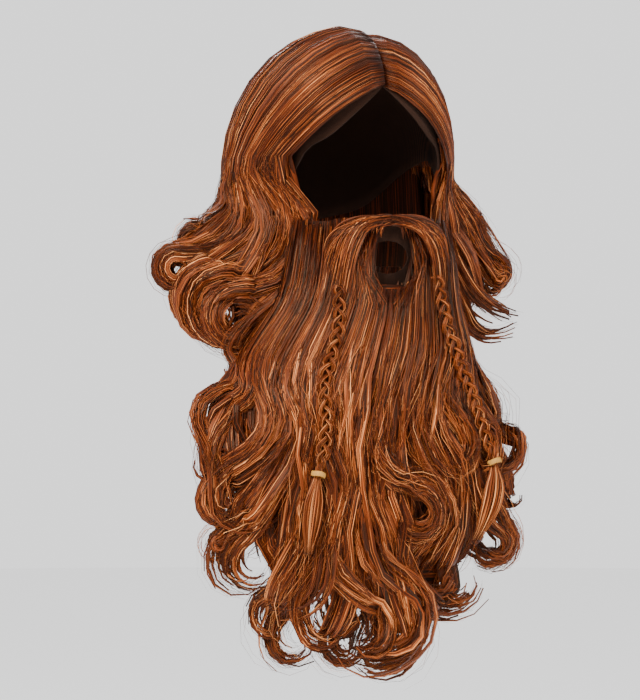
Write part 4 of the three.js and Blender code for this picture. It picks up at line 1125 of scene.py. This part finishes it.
def plait_bundles(name, middle, sideways, out, length, count=22):
    """Three bundles of hair, a third of a turn apart: each swings to the sides in a sine of
    the length along the plait, twice the crossing long, and in and out at double the rate, so
    that they pass over and under one another. Their hairs wind slowly round each bundle."""
    rings = len(middle)
    t = np.linspace(0, 1, rings)
    drawn = smoothstep(1 - t, 0, 0.12) * 0.85 + 0.15
    woven = Hairs()
    for k in range(3):
        phase = 2 * np.pi * t * length / (2 * PLAIT_CROSS) + 2 * np.pi * k / 3
        swing = np.sin(phase) * (PLAIT_HALF - PLAIT_STRAND * 0.4) * drawn
        lift = np.sin(2 * phase) * PLAIT_STRAND * 0.55 * drawn
        bundle = middle + sideways * swing[:, None] + out * lift[:, None]
        angle = 2 * np.pi * np.arange(count)[:, None] / count + 1.6 * t[None]
        reach = np.where(np.arange(count) % 3 == 0, 0.4, 1.0)[:, None]
        body = (PLAIT_STRAND - 0.9) * mix(0.72, 1.0, smoothstep(1 - t, 0, 0.15))[None] * reach
        path = bundle[None] + (np.cos(angle) * body)[..., None] * sideways + (
            np.sin(angle) * body)[..., None] * out
        facing = np.cos(angle)[..., None] * sideways + np.sin(angle)[..., None] * out
        # A tone of 0.58, lighter than the locks, with little root shade: a painted highlight on the
        # plait
        woven.add(path, facing, np.full((count, rings), 0.62),
                  tone_of(count, rings, level=0.58, root=0.05), 0.5, (1.6, 2.4))
    dress(hair_mesh(name + "_hairs", woven), hair_finish, name)


def plait_tail(name, end_point, heading, drift, count=90, rings=13):
    """The loose tail under the tie: hairs along a quadratic curve that leaves in the plait's
    heading and drops by the tail's length, spread in an ellipse that swells and closes."""
    start = end_point - heading * TIE_HEIGHT * 1.6
    end = start + np.array([drift, -3.0, -TAIL_LENGTH])
    bow = start + heading * TAIL_LENGTH * 0.5
    t = np.linspace(0, 1, rings)
    spine = ((1 - t) ** 2)[:, None] * start + (2 * t * (1 - t))[:, None] * bow + (
        t ** 2)[:, None] * end
    swell = smoothstep(t, 0.1, 0.45) * (1 - 0.75 * smoothstep(t, 0.6, 1))
    place = rng.uniform(-1, 1, (count, 1))
    front = rng.uniform(-1, 1, (count, 1)) * np.sqrt(1 - place ** 2)
    wide = PLAIT_STRAND * 0.7 + PLAIT_HALF * swell[None]
    thick = PLAIT_STRAND * 0.7 + 1.8 * swell[None]
    path = spine[None] + (place * wide)[..., None] * np.array([1.0, 0, 0]) + (
        front * thick)[..., None] * np.array([0, -1.0, 0])
    tail = Hairs()
    # A tone of 0.6, lighter than the locks, with no root shade: a painted highlight on the tail
    tail.add(path, np.array([0.0, -1.0, 0.0]), thinning(count, rings, 0.5),
             tone_of(count, rings, level=0.6, root=0.0), 0.3, (2.0, 3.5))
    dress(hair_mesh(name + "_tail", tail), hair_finish, name)


def elastic_tie(tie_name, end_point, heading, sideways, out):
    """The elastic tie: an oval section carried round the plait's end, with three soft waves
    along the heading."""
    around = np.linspace(0, 2 * np.pi, 40, endpoint=False)[:, None]
    section = np.linspace(0, 2 * np.pi, 14, endpoint=False)[None]
    radial = PLAIT_STRAND * 1.55 + 0.8 + 0.75 * np.cos(section)
    rise = 2.4 * np.sin(section) + 0.25 * np.sin(3 * around)
    points = (end_point + (radial * np.cos(around))[..., None] * sideways
              + (radial * np.sin(around))[..., None] * out + rise[..., None] * heading)
    dress(torus_piece(tie_name + "_band", points), elastic_finish, tie_name)


def cap_dome():
    """The cap: rings of the head's form at even shares of the cap's edge sweep, CAP_WALL off
    the head on the way out and on the head on the way back."""
    azimuths = np.linspace(0, 360, 72, endpoint=False)
    edge = between(CAP_EDGE, np.where(azimuths > 180, 360 - azimuths, azimuths))[:, 1]
    shares = np.linspace(0.04, 1, 20)
    rings = [head_point(azimuths, edge * share, CAP_WALL) for share in shares]
    rings += [head_point(azimuths, edge * share, 0.0) for share in shares[::-1]]
    piece = dome_piece("cap_net", np.array(rings), np.array([0, 0, CAP_WALL]), np.zeros(3))
    dress(piece, net_finish, "cap")


# Side hair: hairs of a full lock over the crown, and in its fall
for side, rows, name, crown_count, fall_count in (
        (-1, RIGHT_LOCKS, "hair_right", 78, 94), (1, LEFT_LOCKS, "hair_left", 68, 76)):
    crown, fall = Hairs(), Hairs()
    for row in rows:
        share = row[4]
        side_hairs(crown, side, row, int(crown_count * (0.55 + 0.45 * share)), 8, 17, 0.0,
                   (0.28, 0.6), (0.0, 0.3), 0.6, 0.3)
        side_hairs(fall, side, row, int(fall_count * share), 3, 25, 0.76, (0.78, 1.0),
                   (0.1, 0.6), 0.6, 0.25)
    for piece in (hair_mesh(name + "_crown", crown), hair_mesh(name + "_locks", fall)):
        dress(piece, hair_finish, name)
    side_core(side, [row for row in rows if row[2] > 5 and row[0] not in (0.05, 0.25)], name)

# Back hair
back = Hairs()
for azimuth in np.linspace(112, 248, 15):
    back_hairs(back, azimuth, 50, 19, 0.8)
dress(hair_mesh("hair_back_locks", back), hair_finish, "hair_back")
back_core()

# Beard: its locks in two pieces, the locks under them, and its rear
beard_even, beard_odd = Hairs(), Hairs()
for k, row in enumerate(BEARD_LOCKS):
    beard_hairs(beard_odd if k % 2 else beard_even, row, int(74 * row[5]), 24, 0.58)
# The under-locks' tone of 0.42, below the top locks' 0.5, is painted shade under the top locks
beard_under = Hairs()
for row in fill_rows(17):
    beard_hairs(beard_under, row, 24, 22, 0.7, level=0.42, broad=0.75)
beard_rear = Hairs()
for place in np.linspace(-0.86, 0.86, 19):
    beard_rear_hairs(beard_rear, place, 22, 16)
for name, hairs in (("beard_locks_a", beard_odd), ("beard_locks_b", beard_even),
                    ("beard_underlayer", beard_under), ("beard_behind", beard_rear)):
    dress(hair_mesh(name, hairs), hair_finish, "beard_hair")
beard_core()

# Fly-away hairs: single, very fine, and spread about twice as wide as their lock
loose = Hairs()
for side, rows in ((-1, RIGHT_LOCKS), (1, LEFT_LOCKS)):
    for row in rows:
        wild = (row[0], row[1] * 1.3, row[2] * 1.9, row[3] * 1.2, *row[4:])
        side_hairs(loose, side, wild, 9, 3, 22, 0.4, (0.6, 1.0), (-0.12, 0.4), 0.34, 0.0)
for row in BEARD_LOCKS:
    wild = (*row[:3], row[3] * 2.2, row[4] * 1.1, *row[5:])
    beard_hairs(loose, wild, 11, 22, 0.34, level=0.6, stop=(0.7, 1.0), broad=0.0)
dress(hair_mesh("fly_away_hairs", loose), hair_finish, "beard_hair")

# Moustache: the long hairs round the mouth, and the short ones over the lip
lip = Hairs()
for side in (-1, 1):
    moustache_hairs(lip, side, 150, (0.3, 0.52), (0.075, 0.2), 7)
    moustache_hairs(lip, side, 26, (0.08, 0.22), (0.022, 0.034), 4)
dress(hair_mesh("moustache_hairs", lip), hair_finish, "moustache")

# Plaits: the line, the tail's drift sideways, and how far the lower end comes forward
for side_name, rows, drift, proud in (("right", RIGHT_PLAIT, -12.0, 10.0),
                                      ("left", LEFT_PLAIT, -16.0, 17.0)):
    name = "plait_" + side_name
    middle, way, sideways, out, length = plait_line(rows, proud)
    plait_bundles(name, middle, sideways, out, length)
    plait_tail(name, middle[-1], way[-1], drift)
    elastic_tie("tie_" + side_name, middle[-1], way[-1], sideways[-1], out[-1])

# Cap, beard backing and straps
cap_dome()
for node_name, finish in (("beard_base", net_finish), ("strap_right", strap_finish),
                          ("strap_left", strap_finish)):
    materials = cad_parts[node_name].data.materials
    materials.clear()
    materials.append(finish)
